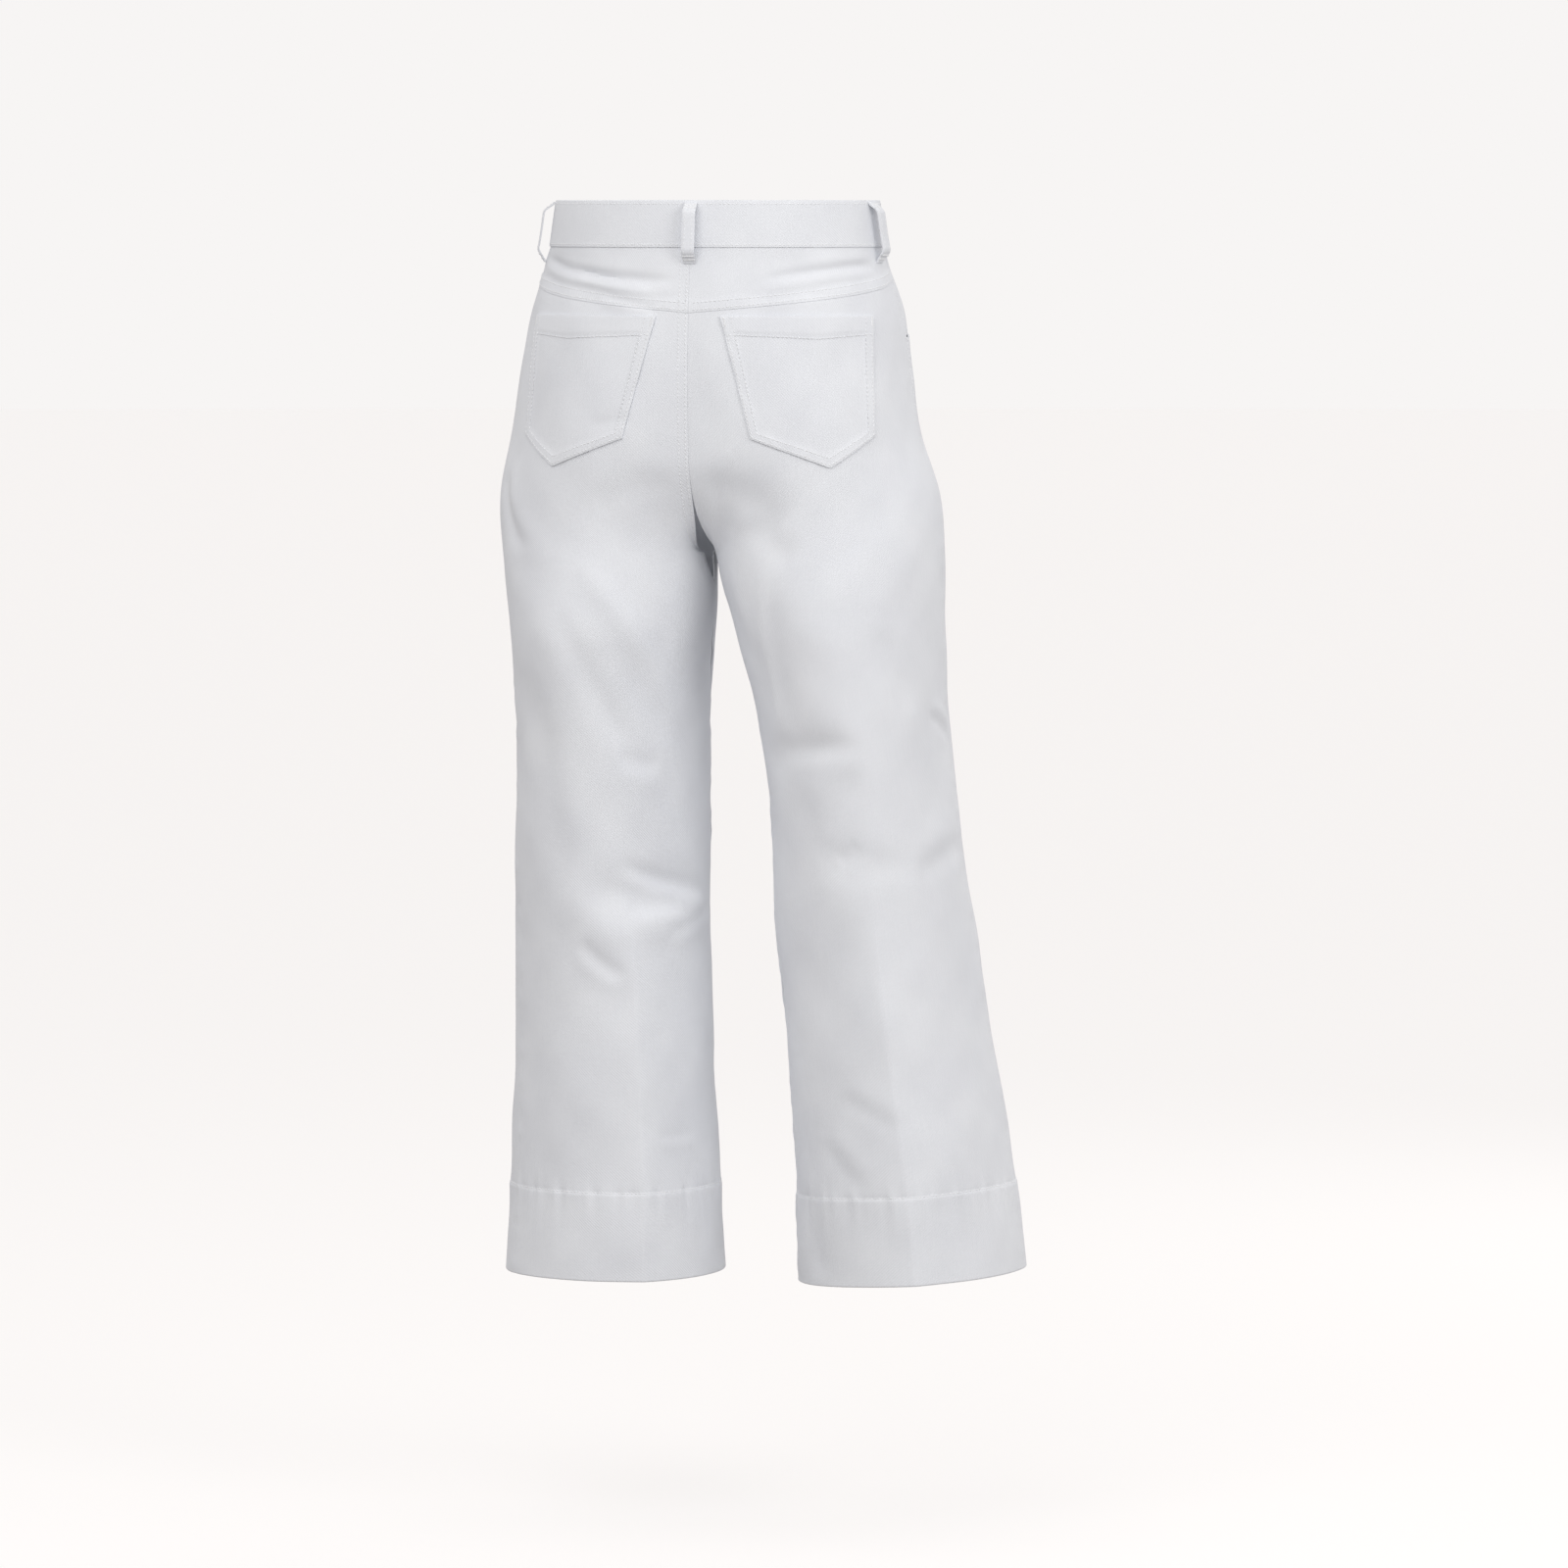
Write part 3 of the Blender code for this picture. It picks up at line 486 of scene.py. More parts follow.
def leg_share(around, height):
    """How far a point has gone from the torso's oval to the leg's tube, from 0 to 1.

    At the mid plane this follows the crotch curve, a quarter ellipse on each side. Away from it
    the curve's foot is rounded off, and further round the change is slower.
    """
    curve = np.where(around < 0.0, RISE_CURVE_FRONT, RISE_CURVE_BACK)
    inner = smooth((np.abs(around) - BLEND_START_AROUND) / (180.0 - BLEND_START_AROUND))
    rise = (height - CROTCH) / curve
    softness = CROTCH_SOFTNESS * (1.0 - inner)
    rise = np.clip(0.5 * (rise + np.sqrt(rise ** 2 + softness ** 2)), 0.0, 1.0)
    at_middle = 1.0 - np.sqrt(rise * (2.0 - rise))
    at_side = smooth((BLEND_TOP - height) / (BLEND_TOP - BLEND_BOTTOM))
    return at_side + (at_middle - at_side) * inner ** 2


def cross_folds(side, around, height):
    """The solids' folds: a bell across a line, faded at both its ends."""
    relief = np.zeros(np.broadcast(around, height).shape)
    for start, start_down, end, end_down, wide, high in zip(*CROSS_FOLDS[side].values()):
        t = (around - start) / (end - start)
        line = -(start_down + (end_down - start_down) * t)
        window = smooth(4.0 * np.clip(t * (1.0 - t), 0.0, 0.25))
        relief = relief + high * window * np.exp(-((height - line) / wide) ** 2)
    return relief


def creases(side, around, height):
    """The soft creases: a bell across a bowed line, less a lower bell beside it.

    They fade at their ends, and at the mid plane, where both halves must meet.
    """
    relief = np.zeros(np.broadcast(around, height).shape)
    rows = CREASES[side]
    for start, start_down, end, end_down, bend, wide, high, lip in zip(*rows.values()):
        run = (end - start) * METRES_A_DEGREE
        fall = start_down - end_down
        length = np.hypot(run, fall)
        from_start = (around - start) * METRES_A_DEGREE
        from_top = height + start_down
        t = (from_start * run + from_top * fall) / length ** 2
        bow = 4.0 * t * (1.0 - t)
        across = ((from_start * fall - from_top * run) / length - bend * bow) / wide
        bell = np.exp(-across ** 2) - lip * np.exp(-((across - LIP_AWAY) / LIP_WIDE) ** 2)
        relief = relief + high * smooth(np.clip(CREASE_EASE * bow, 0.0, 1.0)) * bell
    return relief


def pressed_edge(around, height):
    """The iron's edge on a pressed crease: a low ridge at 90 and -90 that starts at the knee."""
    away = np.abs(np.abs(around) - PRESSED_AT) / PRESSED_REACH
    knee = smooth((PRESSED_FROM - height) / PRESSED_OVER)
    return PRESSED_HIGH * knee * np.clip(1.0 - away, 0.0, 1.0) ** 2


def seat_cleft(around, height):
    """The groove that the seat pulls into the back seam above the crotch: a bell across it."""
    from_seam = (180.0 - around) * METRES_A_DEGREE
    top = CLEFT_TOP - height
    deep = smooth(top / (CLEFT_TOP - CROTCH)) * smooth((height - CLEFT_FOOT) / (CROTCH - CLEFT_FOOT))
    return -CLEFT_DEEP * deep * np.exp(-(from_seam / CLEFT_WIDE) ** 2)


def unevenness(side, around, height):
    """A sum of slow sine waves, the other way about on the other side."""
    relief = np.zeros(np.broadcast(around, height).shape)
    across = around * METRES_A_DEGREE * side
    for cycles_round, cycles_up, phase, high in zip(*UNEVENNESS.values()):
        turns = across * cycles_round + height * cycles_up
        relief = relief + high * np.sin(2.0 * np.pi * turns + phase + side)
    return relief


def puckering(along, seed):
    """Uneven ripples along a row of sewing, from -1 to 1: a sum of sines, some cut off."""
    ripple = 0.0
    for cycles, phase, share in zip(*PUCKERS.values()):
        ripple = ripple + share * np.sin(2.0 * np.pi * cycles * along + phase + seed)
    return np.clip(ripple, PUCKER_LOWEST, 1.0)


def side_seam(height):
    """The side seam, which swings back below the hip."""
    span = SIDE_SEAM_TURN_FROM - SIDE_SEAM_TURN_TO
    return SIDE_SEAM_TURN * smooth((SIDE_SEAM_TURN_FROM - height) / span)


def yoke_seam(around):
    """Height of the seam below the yoke, lowest at the centre back."""
    share = np.clip(around / 180.0, 0.0, 1.0)
    return YOKE_AT_SIDE + (YOKE_AT_BACK - YOKE_AT_SIDE) * share ** YOKE_SEAM_CURVE


def sewn_relief(side, around, height):
    """What sewing does to the cloth: a proud turned hem with puckers, and seams that pull in.

    At the hem's row a bell-shaped groove is cut and ripples die away below it. Beside the side
    seam and the inseam smaller ripples die away on both sides.
    """
    cloth = bpy.context.scene.jeans_cloth
    across = around * METRES_A_DEGREE
    below = ABOVE_HEM - height
    groove = -HEM_GROOVE_DEEP * np.exp(-(below / HEM_GROOVE_WIDE) ** 2)
    proud = HEM_PROUD * smooth(0.5 + below / HEM_PROUD_OVER)
    fade_below = np.exp(-np.clip(below, 0.0, None) / PUCKER_FADE_BELOW)
    fade = np.where(below > 0.0, fade_below, np.exp(below / PUCKER_FADE_ABOVE))
    hem = groove + proud + cloth.pucker_height * puckering(across, side) * fade
    relief = hem * (height < ABOVE_HEM + SEWN_ABOVE_HEM)
    from_side = np.abs(around - side_seam(height)) * METRES_A_DEGREE
    from_inseam = (180.0 - np.abs(around)) * METRES_A_DEGREE
    below_crotch = smooth((CROTCH - height) / INSEAM_EASE)
    beside = np.exp(-from_side / SEAM_PUCKER_FADE)
    beside = beside + np.exp(-from_inseam / SEAM_PUCKER_FADE) * below_crotch
    ripples = SEAM_PUCKER_SHARE * cloth.pucker_height * puckering(0.7 * height, 2.0 + side)
    return relief + ripples * beside


def fine_relief(side, around, height):
    """All relief of the dressed cloth. It fades at the mid plane and under the waistband."""
    at_mid_plane = smooth((180.0 - np.abs(around)) / MID_PLANE_EASE)
    joined = np.where(height < CROTCH, 1.0, at_mid_plane)
    under_band = smooth((BAND_BOTTOM - height) / UNDER_BAND_EASE)
    relief = creases(side, around, height) + unevenness(side, around, height)
    relief = relief + pressed_edge(around, height)
    relief = relief * bpy.context.scene.jeans_cloth.crease_share
    relief = (relief + sewn_relief(side, around, height)) * joined * under_band
    return relief + seat_cleft(around, height)


def smooth_form(side, around, height):
    """The garment's form without its folds, as (out, back, up)."""
    torso = torso_point(side, around, height)
    leg = leg_point(side, around, height)
    share = leg_share(around, height)
    out = torso[0] + (leg[0] - torso[0]) * share + SEAM_GAP / 2.0
    back = torso[1] + (leg[1] - torso[1]) * share
    tilt = smooth((CROTCH - height) / (CROTCH - HEM))
    up = height + HEM_TILT[side] * (out - HEM_TILT_ABOUT) * tilt
    return np.stack(np.broadcast_arrays(out, back, up), axis=-1)


def form(side, around, height, fine=True):
    """The outer face of the cloth, as (out, back, up): the smooth form moved out by its relief."""
    point = smooth_form(side, around, height)
    along = smooth_form(side, around + STEP_AROUND, height) - point
    length = np.maximum(np.hypot(along[..., 0], along[..., 1]), 1e-9)
    relief = cross_folds(side, around, height)
    if fine:
        relief = relief + fine_relief(side, around, height)
    point[..., 0] += relief * along[..., 1] / length
    point[..., 1] -= relief * along[..., 0] / length
    return point


def surface(side, around, height, lift=0.0):
    """World points lifted off the cloth's outer face, and outward normals.

    The normal is the cross product of the surface's steps round and up. On the mid plane it
    keeps to that plane.
    """
    around, height, lift = np.broadcast_arrays(around, height, lift)
    point = form(side, around, height)
    along = form(side, around + STEP_AROUND, height) - form(side, around - STEP_AROUND, height)
    upward = form(side, around, height + STEP_HEIGHT) - form(side, around, height - STEP_HEIGHT)
    normal = np.cross(along, upward)
    on_mid_plane = (np.abs(around) > NEAR_MID_PLANE) & (height > CROTCH - AT_CROTCH)
    normal[..., 0] = np.where(on_mid_plane, 0.0, normal[..., 0])
    normal /= np.maximum(np.linalg.norm(normal, axis=-1, keepdims=True), 1e-12)
    point = point + normal * lift[..., None]
    kept_off = np.maximum(point[..., 0], SEAM_GAP / 2.0)
    point[..., 0] = np.where(height > CROTCH - AT_CROTCH, kept_off, point[..., 0]) * side
    normal[..., 0] *= side
    return point, normal


def degrees_for(side, around, height, distance):
    """The change of "around" that moves a point by a distance along the cloth."""
    ahead = form(side, around + STEP_AROUND, height, fine=False)
    behind = form(side, around - STEP_AROUND, height, fine=False)
    return distance * 2.0 * STEP_AROUND / np.linalg.norm(ahead - behind, axis=-1)


def around_at(side, distance, height, from_back):
    """The angle a distance along the cloth from the centre back or the centre front.

    The distance run is summed over a line of angles at each height, and the angle is found in
    the step where it passes the distance.
    """
    distance, height = np.broadcast_arrays(np.asarray(distance, float), np.asarray(height, float))
    angles = np.linspace(180.0 if from_back else -180.0, 0.0, 181)
    angles = angles.reshape((-1,) + (1,) * height.ndim)
    line = form(side, angles, height[None], fine=False)
    steps = np.linalg.norm(np.diff(line, axis=0), axis=-1)
    run = np.concatenate([np.zeros((1,) + height.shape), np.cumsum(steps, axis=0)])
    step = np.clip((run <= distance).sum(axis=0) - 1, 0, len(angles) - 2)
    before = np.take_along_axis(run, step[None], axis=0)[0]
    after = np.take_along_axis(run, step[None] + 1, axis=0)[0]
    share = (distance - before) / (after - before)
    first, second = angles.ravel()[step], angles.ravel()[step + 1]
    return first + (second - first) * share


# ---------------------------------------------------------------- meshes

def add_piece(name, points, faces, finish, grain=None):
    """A mesh object at the origin that rides on the body. "grain" is each point's place on the
    cloth in metres, kept as a UV map that the weave follows."""
    mesh = bpy.data.meshes.new(name)
    mesh.from_pydata(points, [], faces)
    mesh.validate()
    mesh.shade_smooth()
    mesh.set_sharp_from_angle(angle=np.radians(SHARP_EDGE))
    if grain is not None:
        corners = np.empty(len(mesh.loops), dtype=np.int64)
        mesh.loops.foreach_get("vertex_index", corners)
        layer = mesh.uv_layers.new(name="grain")
        layer.data.foreach_set("uv", grain[corners].ravel())
    piece = bpy.data.objects.new(name, mesh)
    bpy.context.scene.collection.objects.link(piece)
    mesh.materials.append(finish)
    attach(piece, BODY)
    return piece


def wall(outer, inner, flip):
    """Points and faces of a closed wall between two grids of points."""
    rows, columns = outer.shape[:2]
    count = rows * columns
    index = np.arange(count).reshape(rows, columns)
    a, b = index[:-1, :-1].ravel(), index[1:, :-1].ravel()
    c, d = index[1:, 1:].ravel(), index[:-1, 1:].ravel()
    front = np.stack([a, b, c, d], axis=1)
    back = np.stack([a, d, c, b], axis=1) + count
    rim = np.concatenate([index[0, :-1], index[:-1, -1], index[-1, :0:-1], index[:0:-1, 0]])
    ahead = np.roll(rim, -1)
    sides = np.stack([rim, ahead, ahead + count, rim + count], axis=1)
    faces = np.concatenate([front, back, sides])
    if flip:
        faces = faces[:, ::-1]
    points = np.concatenate([outer.reshape(-1, 3), inner.reshape(-1, 3)])
    return points.tolist(), faces.tolist()


def add_shell(name, outer, inner, grain, flip):
    """A denim shell between two grids of points, whose places across and up the cloth are "grain"."""
    points, faces = wall(outer, inner, flip)
    places = np.stack(np.broadcast_arrays(*grain), axis=-1).reshape(-1, 2)
    return add_piece(name, points, faces, denim(), np.concatenate([places, places]))


def cloth_piece(name, side, around, height, outer, inner, inner_height=None):
    """A shell of cloth between two lifts off the surface, over a grid of places."""
    inner_height = height if inner_height is None else inner_height
    outer_face = surface(side, around, height, outer)[0]
    inner_face = surface(side, around, inner_height, inner)[0]
    return add_shell(name, outer_face, inner_face, (around * METRES_A_DEGREE, height), side < 0)


def edge_steps(count, near=NEAR_EDGE):
    """Shares from 0 to 1 that crowd at both ends, so that the cloth's edges turn over smoothly."""
    near = np.array(near)
    middle = np.linspace(near[-1], 1.0 - near[-1], count)[1:-1]
    return np.concatenate([near, middle, 1.0 - near[::-1]])


def turned_edge(distance):
    """How far the outer face dips at an edge: a bell a millimetre wide."""
    return -EDGE_DIP * np.exp(-(distance / EDGE_DIP_WIDE) ** 2)


# ---------------------------------------------------------------- sewing

def along_path(at, run, values):
    """Values at distances "at" along a path, in straight lines between those at "run"."""
    return np.stack([np.interp(at, run, column) for column in values.T], axis=1)


def stitch_frames(path, pitch):
    """Places a pitch apart along a path: middle, direction along it, and normal."""
    points, normals = path
    run = np.concatenate([[0.0], np.cumsum(np.linalg.norm(np.diff(points, axis=0), axis=1))])
    count = max(int(run[-1] / pitch), 1)
    at = (np.arange(count) + 0.5) * run[-1] / count
    middle, normal = along_path(at, run, points), along_path(at, run, normals)
    along = along_path(at + pitch / 4, run, points) - along_path(at - pitch / 4, run, points)
    along /= np.maximum(np.linalg.norm(along, axis=1, keepdims=True), 1e-12)
    normal -= along * (normal * along).sum(axis=1, keepdims=True)
    normal /= np.maximum(np.linalg.norm(normal, axis=1, keepdims=True), 1e-12)
    return middle, along, normal


def beads(middle, along, normal, length, thread, first):
    """Stitches: each is a six-sided bead of thread, fullest in its middle, half sunk in cloth.

    The faces count their points from "first".
    """
    across = np.cross(normal, along)
    stations = np.array([-0.5, -0.32, 0.0, 0.32, 0.5]) * length
    girth = np.array([0.25, 0.85, 1.0, 0.85, 0.25]) * thread / 2.0
    sink = np.array([-0.45, 0.1, 0.25, 0.1, -0.45]) * thread / 2.0
    turn = np.linspace(0.0, 2.0 * np.pi, BEAD_SIDES, endpoint=False)
    local_along = np.repeat(stations, BEAD_SIDES)
    local_across = (girth[:, None] * np.cos(turn)[None, :]).ravel()
    local_up = (girth[:, None] * np.sin(turn)[None, :] + sink[:, None]).ravel()
    points = middle[:, None, :] + (
        local_along[None, :, None] * along[:, None, :]
        + local_across[None, :, None] * across[:, None, :]
        + local_up[None, :, None] * normal[:, None, :]
    )
    ring = np.arange(BEAD_SIDES)
    following = np.roll(ring, -1)
    last = BEAD_SIDES * (len(stations) - 1)
    level = np.arange(0, last, BEAD_SIDES)[:, None]
    above = level + BEAD_SIDES
    quads = np.stack([ring + level, following + level, following + above, ring + above], -1)
    start = first + np.arange(len(middle))[:, None] * (last + BEAD_SIDES)
    faces = (quads.reshape(-1, 4) + start[..., None]).reshape(-1, 4).tolist()
    for cap in (ring[::-1], ring + last):
        faces += (cap + start).tolist()
    return points.reshape(-1, 3), faces


def sew(name, rows, tacks=()):
    """Sewing of one piece: rows of stitches, and bar tacks whose threads lie across their path."""
    settings = bpy.context.scene.jeans_sewing
    points, faces, first = [], [], 0
    jobs = [(path, settings.stitch_pitch, settings.stitch_length, False) for path in rows]
    jobs += [(path, settings.tack_pitch, settings.tack_width, True) for path in tacks]
    for path, pitch, length, turned in jobs:
        middle, along, normal = stitch_frames(path, pitch)
        if turned:
            along = np.cross(normal, along)
        made, made_faces = beads(middle, along, normal, length, settings.thread_width, first)
        points.append(made)
        faces += made_faces
        first += len(made)
    return add_piece(name, np.concatenate(points).tolist(), faces, thread())


# ---------------------------------------------------------------- materials

def linear(colour):
    """An sRGB hex colour as linear RGB."""
    parts = np.array([int(colour[i:i + 2], 16) for i in (1, 3, 5)]) / 255.0
    return tuple(np.where(parts <= 0.04045, parts / 12.92, ((parts + 0.055) / 1.055) ** 2.4))


def set_inputs(made, values):
    """Sets a node's inputs that nothing is linked to."""
    for key, value in values.items():
        made.inputs[key].default_value = value


def node(tree, kind, settings=(), links=()):
    """Adds a node, sets its properties and input values, and links its inputs."""
    made = tree.nodes.new(kind)
    for key, value in dict(settings).items():
        if isinstance(key, str) and hasattr(made, key):
            setattr(made, key, value)
        else:
            made.inputs[key].default_value = value
    for key, output in dict(links).items():
        tree.links.new(output, made.inputs[key])
    return made


def new_finish(name):
    """An empty material, its node tree and its Principled shader."""
    finish = bpy.data.materials.new(name)
    finish.use_nodes = True
    return finish, finish.node_tree, finish.node_tree.nodes["Principled BSDF"]


def denim():
    """White cotton denim, a three and one twill, bleached, washed and worn: matt with a soft
    bloom. Twill lines run diagonally, slubs of uneven yarn run down the cloth."""
    name = "white cotton denim twill"
    if name in bpy.data.materials:
        return bpy.data.materials[name]
    colours = bpy.context.scene.jeans_colours
    finish, tree, shader = new_finish(name)
    grain = node(tree, "ShaderNodeUVMap", {"uv_map": "grain"})
    # Twill lines of a 12 ounce denim lie 0.9 mm apart. They are drawn 1.8 mm apart to show.
    twill_apart = 0.0018
    wave_period = 2.0 * np.pi / 10.0
    twill = node(tree, "ShaderNodeTexWave", {
        "wave_type": "BANDS", "bands_direction": "DIAGONAL",
        "Scale": wave_period / (twill_apart * np.sqrt(2.0)),
        "Distortion": 0.6, "Detail": 1.0, "Detail Scale": 2.0,
    }, {"Vector": grain.outputs["UV"]})
    # Slubs are about 1 mm wide and 25 mm long.
    stretched = node(tree, "ShaderNodeMapping", {"Scale": (900.0, 40.0, 1.0)},
                     {"Vector": grain.outputs["UV"]})
    slubs = node(tree, "ShaderNodeTexNoise", {"Scale": 1.0, "Detail": 2.0},
                 {"Vector": stretched.outputs["Vector"]})
    # Wash marks are soft patches some 60 mm across.
    place = node(tree, "ShaderNodeTexCoord")
    patches = node(tree, "ShaderNodeTexNoise", {"Scale": 16.0, "Detail": 3.0},
                   {"Vector": place.outputs["Object"]})
    mixed = node(tree, "ShaderNodeMix", {
        "data_type": "RGBA", 6: (*colours.cloth, 1.0), 7: (*colours.cloth_shade, 1.0)})
    weight = node(tree, "ShaderNodeMath", {"operation": "MULTIPLY_ADD", 1: 0.35},
                  {0: slubs.outputs["Fac"]})
    tree.links.new(patches.outputs["Fac"], weight.inputs[2])
    spread = node(tree, "ShaderNodeMapRange", {"From Min": 0.45, "From Max": 0.95},
                  {"Value": weight.outputs["Value"]})
    tree.links.new(spread.outputs["Result"], mixed.inputs[0])
    tree.links.new(mixed.outputs[2], shader.inputs["Base Color"])
    height = node(tree, "ShaderNodeMath", {"operation": "MULTIPLY_ADD", 1: 0.5},
                  {0: slubs.outputs["Fac"], 2: twill.outputs["Fac"]})
    bump = node(tree, "ShaderNodeBump", {"Strength": 0.35, "Distance": 0.00025},
                {"Height": height.outputs["Value"]})
    tree.links.new(bump.outputs["Normal"], shader.inputs["Normal"])
    set_inputs(shader, {
        "Roughness": 0.88, "Specular IOR Level": 0.25, "Sheen Weight": 0.12, "Sheen Roughness": 0.5})
    return finish


def thread():
    """Core-spun sewing thread, white cotton over polyester: finer and a little brighter than the
    cloth, with its twist along the bead."""
    name = "white core-spun thread"
    if name in bpy.data.materials:
        return bpy.data.materials[name]
    finish, tree, shader = new_finish(name)
    place = node(tree, "ShaderNodeTexCoord")
    # The twist's turns are 0.7 mm apart along x + y + z, which is 0.4 mm across them.
    twist_step = 0.0007
    twist = node(tree, "ShaderNodeTexWave", {
        "wave_type": "BANDS", "bands_direction": "DIAGONAL", "Scale": 0.628 / twist_step,
        "Distortion": 1.0,
    }, {"Vector": place.outputs["Object"]})
    bump = node(tree, "ShaderNodeBump", {"Strength": 0.4, "Distance": 0.0001},
                {"Height": twist.outputs["Fac"]})
    tree.links.new(bump.outputs["Normal"], shader.inputs["Normal"])
    colour = (*bpy.context.scene.jeans_colours.thread, 1.0)
    set_inputs(shader, {"Base Color": colour, "Roughness": 0.6, "Sheen Weight": 0.1})
    return finish


def nickel():
    """Brass button, nickel plated and tumbled: satin, with a fine grain."""
    name = "satin nickel plate"
    if name in bpy.data.materials:
        return bpy.data.materials[name]
    finish, tree, shader = new_finish(name)
    place = node(tree, "ShaderNodeTexCoord")
    # Tumbling leaves grains of about 0.4 mm.
    grains = node(tree, "ShaderNodeTexNoise", {"Scale": 2500.0, "Detail": 2.0},
                  {"Vector": place.outputs["Object"]})
    rough = node(tree, "ShaderNodeMapRange", {"To Min": 0.26, "To Max": 0.42},
                 {"Value": grains.outputs["Fac"]})
    tree.links.new(rough.outputs["Result"], shader.inputs["Roughness"])
    bump = node(tree, "ShaderNodeBump", {"Strength": 0.15, "Distance": 0.00005},
                {"Height": grains.outputs["Fac"]})
    tree.links.new(bump.outputs["Normal"], shader.inputs["Normal"])
    colour = (*bpy.context.scene.jeans_colours.metal, 1.0)
    set_inputs(shader, {"Base Color": colour, "Metallic": 1.0})
    return finish


def floor_paint():
    """Matt grey paint on a studio table that gives a little light of its own."""
    finish, tree, shader = new_finish("matt studio paint")
    place = node(tree, "ShaderNodeTexCoord")
    grain = node(tree, "ShaderNodeTexNoise", {"Scale": 60.0, "Detail": 3.0},
                 {"Vector": place.outputs["Object"]})
    bump = node(tree, "ShaderNodeBump", {"Strength": 0.02, "Distance": 0.001},
                {"Height": grain.outputs["Fac"]})
    tree.links.new(bump.outputs["Normal"], shader.inputs["Normal"])
    colours = bpy.context.scene.jeans_colours
    set_inputs(shader, {
        "Base Color": (*colours.floor, 1.0), "Roughness": 0.9, "Specular IOR Level": 0.1,
        "Emission Color": (*colours.surround, 1.0)})
    path = node(tree, "ShaderNodeLightPath")
    glow = node(tree, "ShaderNodeMath", {
        "operation": "MULTIPLY", 1: bpy.context.scene.jeans_studio.floor_glow,
    }, {0: path.outputs["Is Camera Ray"]})
    tree.links.new(glow.outputs["Value"], shader.inputs["Emission Strength"])
    return finish


# ---------------------------------------------------------------- settings

def in_metres(name, description, default, lowest, highest, precision=4):
    """A setting in metres."""
    return bpy.props.FloatProperty(
        name=name, description=description, default=default, min=lowest, max=highest,
        unit="LENGTH", precision=precision)


def as_share(name, description, default, highest):
    """A setting that is a share, from 0 up."""
    return bpy.props.FloatProperty(
        name=name, description=description, default=default, min=0.0, max=highest,
        subtype="FACTOR")


def in_watts(name, description, default):
    """A lamp's power in watts."""
    return bpy.props.FloatProperty(
        name=name, description=description, default=default, min=0.0, max=STRONGEST_LAMP,
        unit="POWER")


def in_degrees(name, description, degrees):
    """A setting that is an angle, given in degrees."""
    return bpy.props.FloatProperty(
        name=name, description=description, default=np.radians(degrees), subtype="ANGLE")


def as_colour(name, description, shade):
    """A colour setting, given as an sRGB hex value."""
    return bpy.props.FloatVectorProperty(
        name=name, description=description, default=linear(shade), min=0.0, max=1.0,
        subtype="COLOR")


class JeansCloth(bpy.types.PropertyGroup):
    """How the cloth is creased and how thick it is."""
    thickness: in_metres(
        "Cloth thickness", "Thickness of one layer of cloth", CLOTH - FOLD_GAP, 0.0005, 0.003)
    crease_share: as_share("Creases", "Share of the creases' full height", 1.0, 1.5)
    pucker_height: in_metres(
        "Pucker height", "Height of the puckers below the hem's row of sewing", 0.0012, 0.0, 0.002)
    pocket_fullness: in_metres(
        "Pocket fullness", "How far the back pockets' mouths stand off", 0.0008, 0.0, 0.006)


class JeansSewing(bpy.types.PropertyGroup):
    """The rows of sewing."""
    stitch_pitch: in_metres(
        "Stitch pitch", "From the start of one stitch to the next", 0.0038, 0.001, 0.01)
    stitch_length: in_metres(
        "Stitch length", "Length of thread that shows in each stitch", 0.0030, 0.001, 0.01)
    thread_width: in_metres("Thread width", "Width of the sewing thread", 0.0008, 0.0002, 0.002)
    from_edge: in_metres(
        "Row from edge", "From an edge to the first row of sewing", 0.0022, 0.001, 0.01)
    rows_apart: in_metres(
        "Rows apart", "Between the two rows of a double row", 0.0062, 0.002, 0.015)
    tack_pitch: in_metres(
        "Bar tack pitch", "Between the threads of a bar tack", 0.0006, 0.0003, 0.002)
    tack_width: in_metres("Bar tack width", "Width of a bar tack", 0.0022, 0.001, 0.005)


class JeansColours(bpy.types.PropertyGroup):
    """The colours of cloth, thread, metal, floor and the light all round."""
    cloth: as_colour("Cloth", "Colour of the white denim", "#e9ebef")
    cloth_shade: as_colour(
        "Cloth's slubs", "Colour of the denim's thicker yarns and wash marks", "#e1e3e8")
    thread: as_colour("Thread", "Colour of the sewing thread", "#eeeff1")
    metal: as_colour("Button", "Colour of the button's plating", "#c8c4bd")
    floor: as_colour("Floor", "Colour of the studio floor's paint", "#a8a6a5")
    surround: as_colour(
        "Surround", "Colour of the light all round and of the lit floor", "#f7f5f4")


class JeansStudio(bpy.types.PropertyGroup):
    """Light and camera."""
    azimuth: in_degrees("Camera azimuth", "Where the camera stands round the jeans, 0 in front", 193.0)
    elevation: in_degrees("Camera elevation", "How far the camera looks down", 3.8)
    distance: in_metres(
        "Camera distance", "From the camera to what it looks at", 8.0, 1.0, 30.0, precision=2)
    frame_size: in_metres(
        "Frame size", "Width of what the camera sees at that distance", 1.3913, 0.1, 10.0)
    key_power: in_watts("Key light", "Power of the soft light from the right", 22.0)
    fill_power: in_watts("Fill light", "Power of the soft light above the camera", 19.5)
    far_power: in_watts("Far light", "Power of the soft light on the side turned away", 12.0)
    floor_glow: as_share(
        "Floor light", "Light that the floor, a lit table, gives of itself", 0.65, 5.0)
    sky: as_share("Surround light", "Strength of the even light all round", 0.83, 5.0)


# ---------------------------------------------------------------- cloth pieces

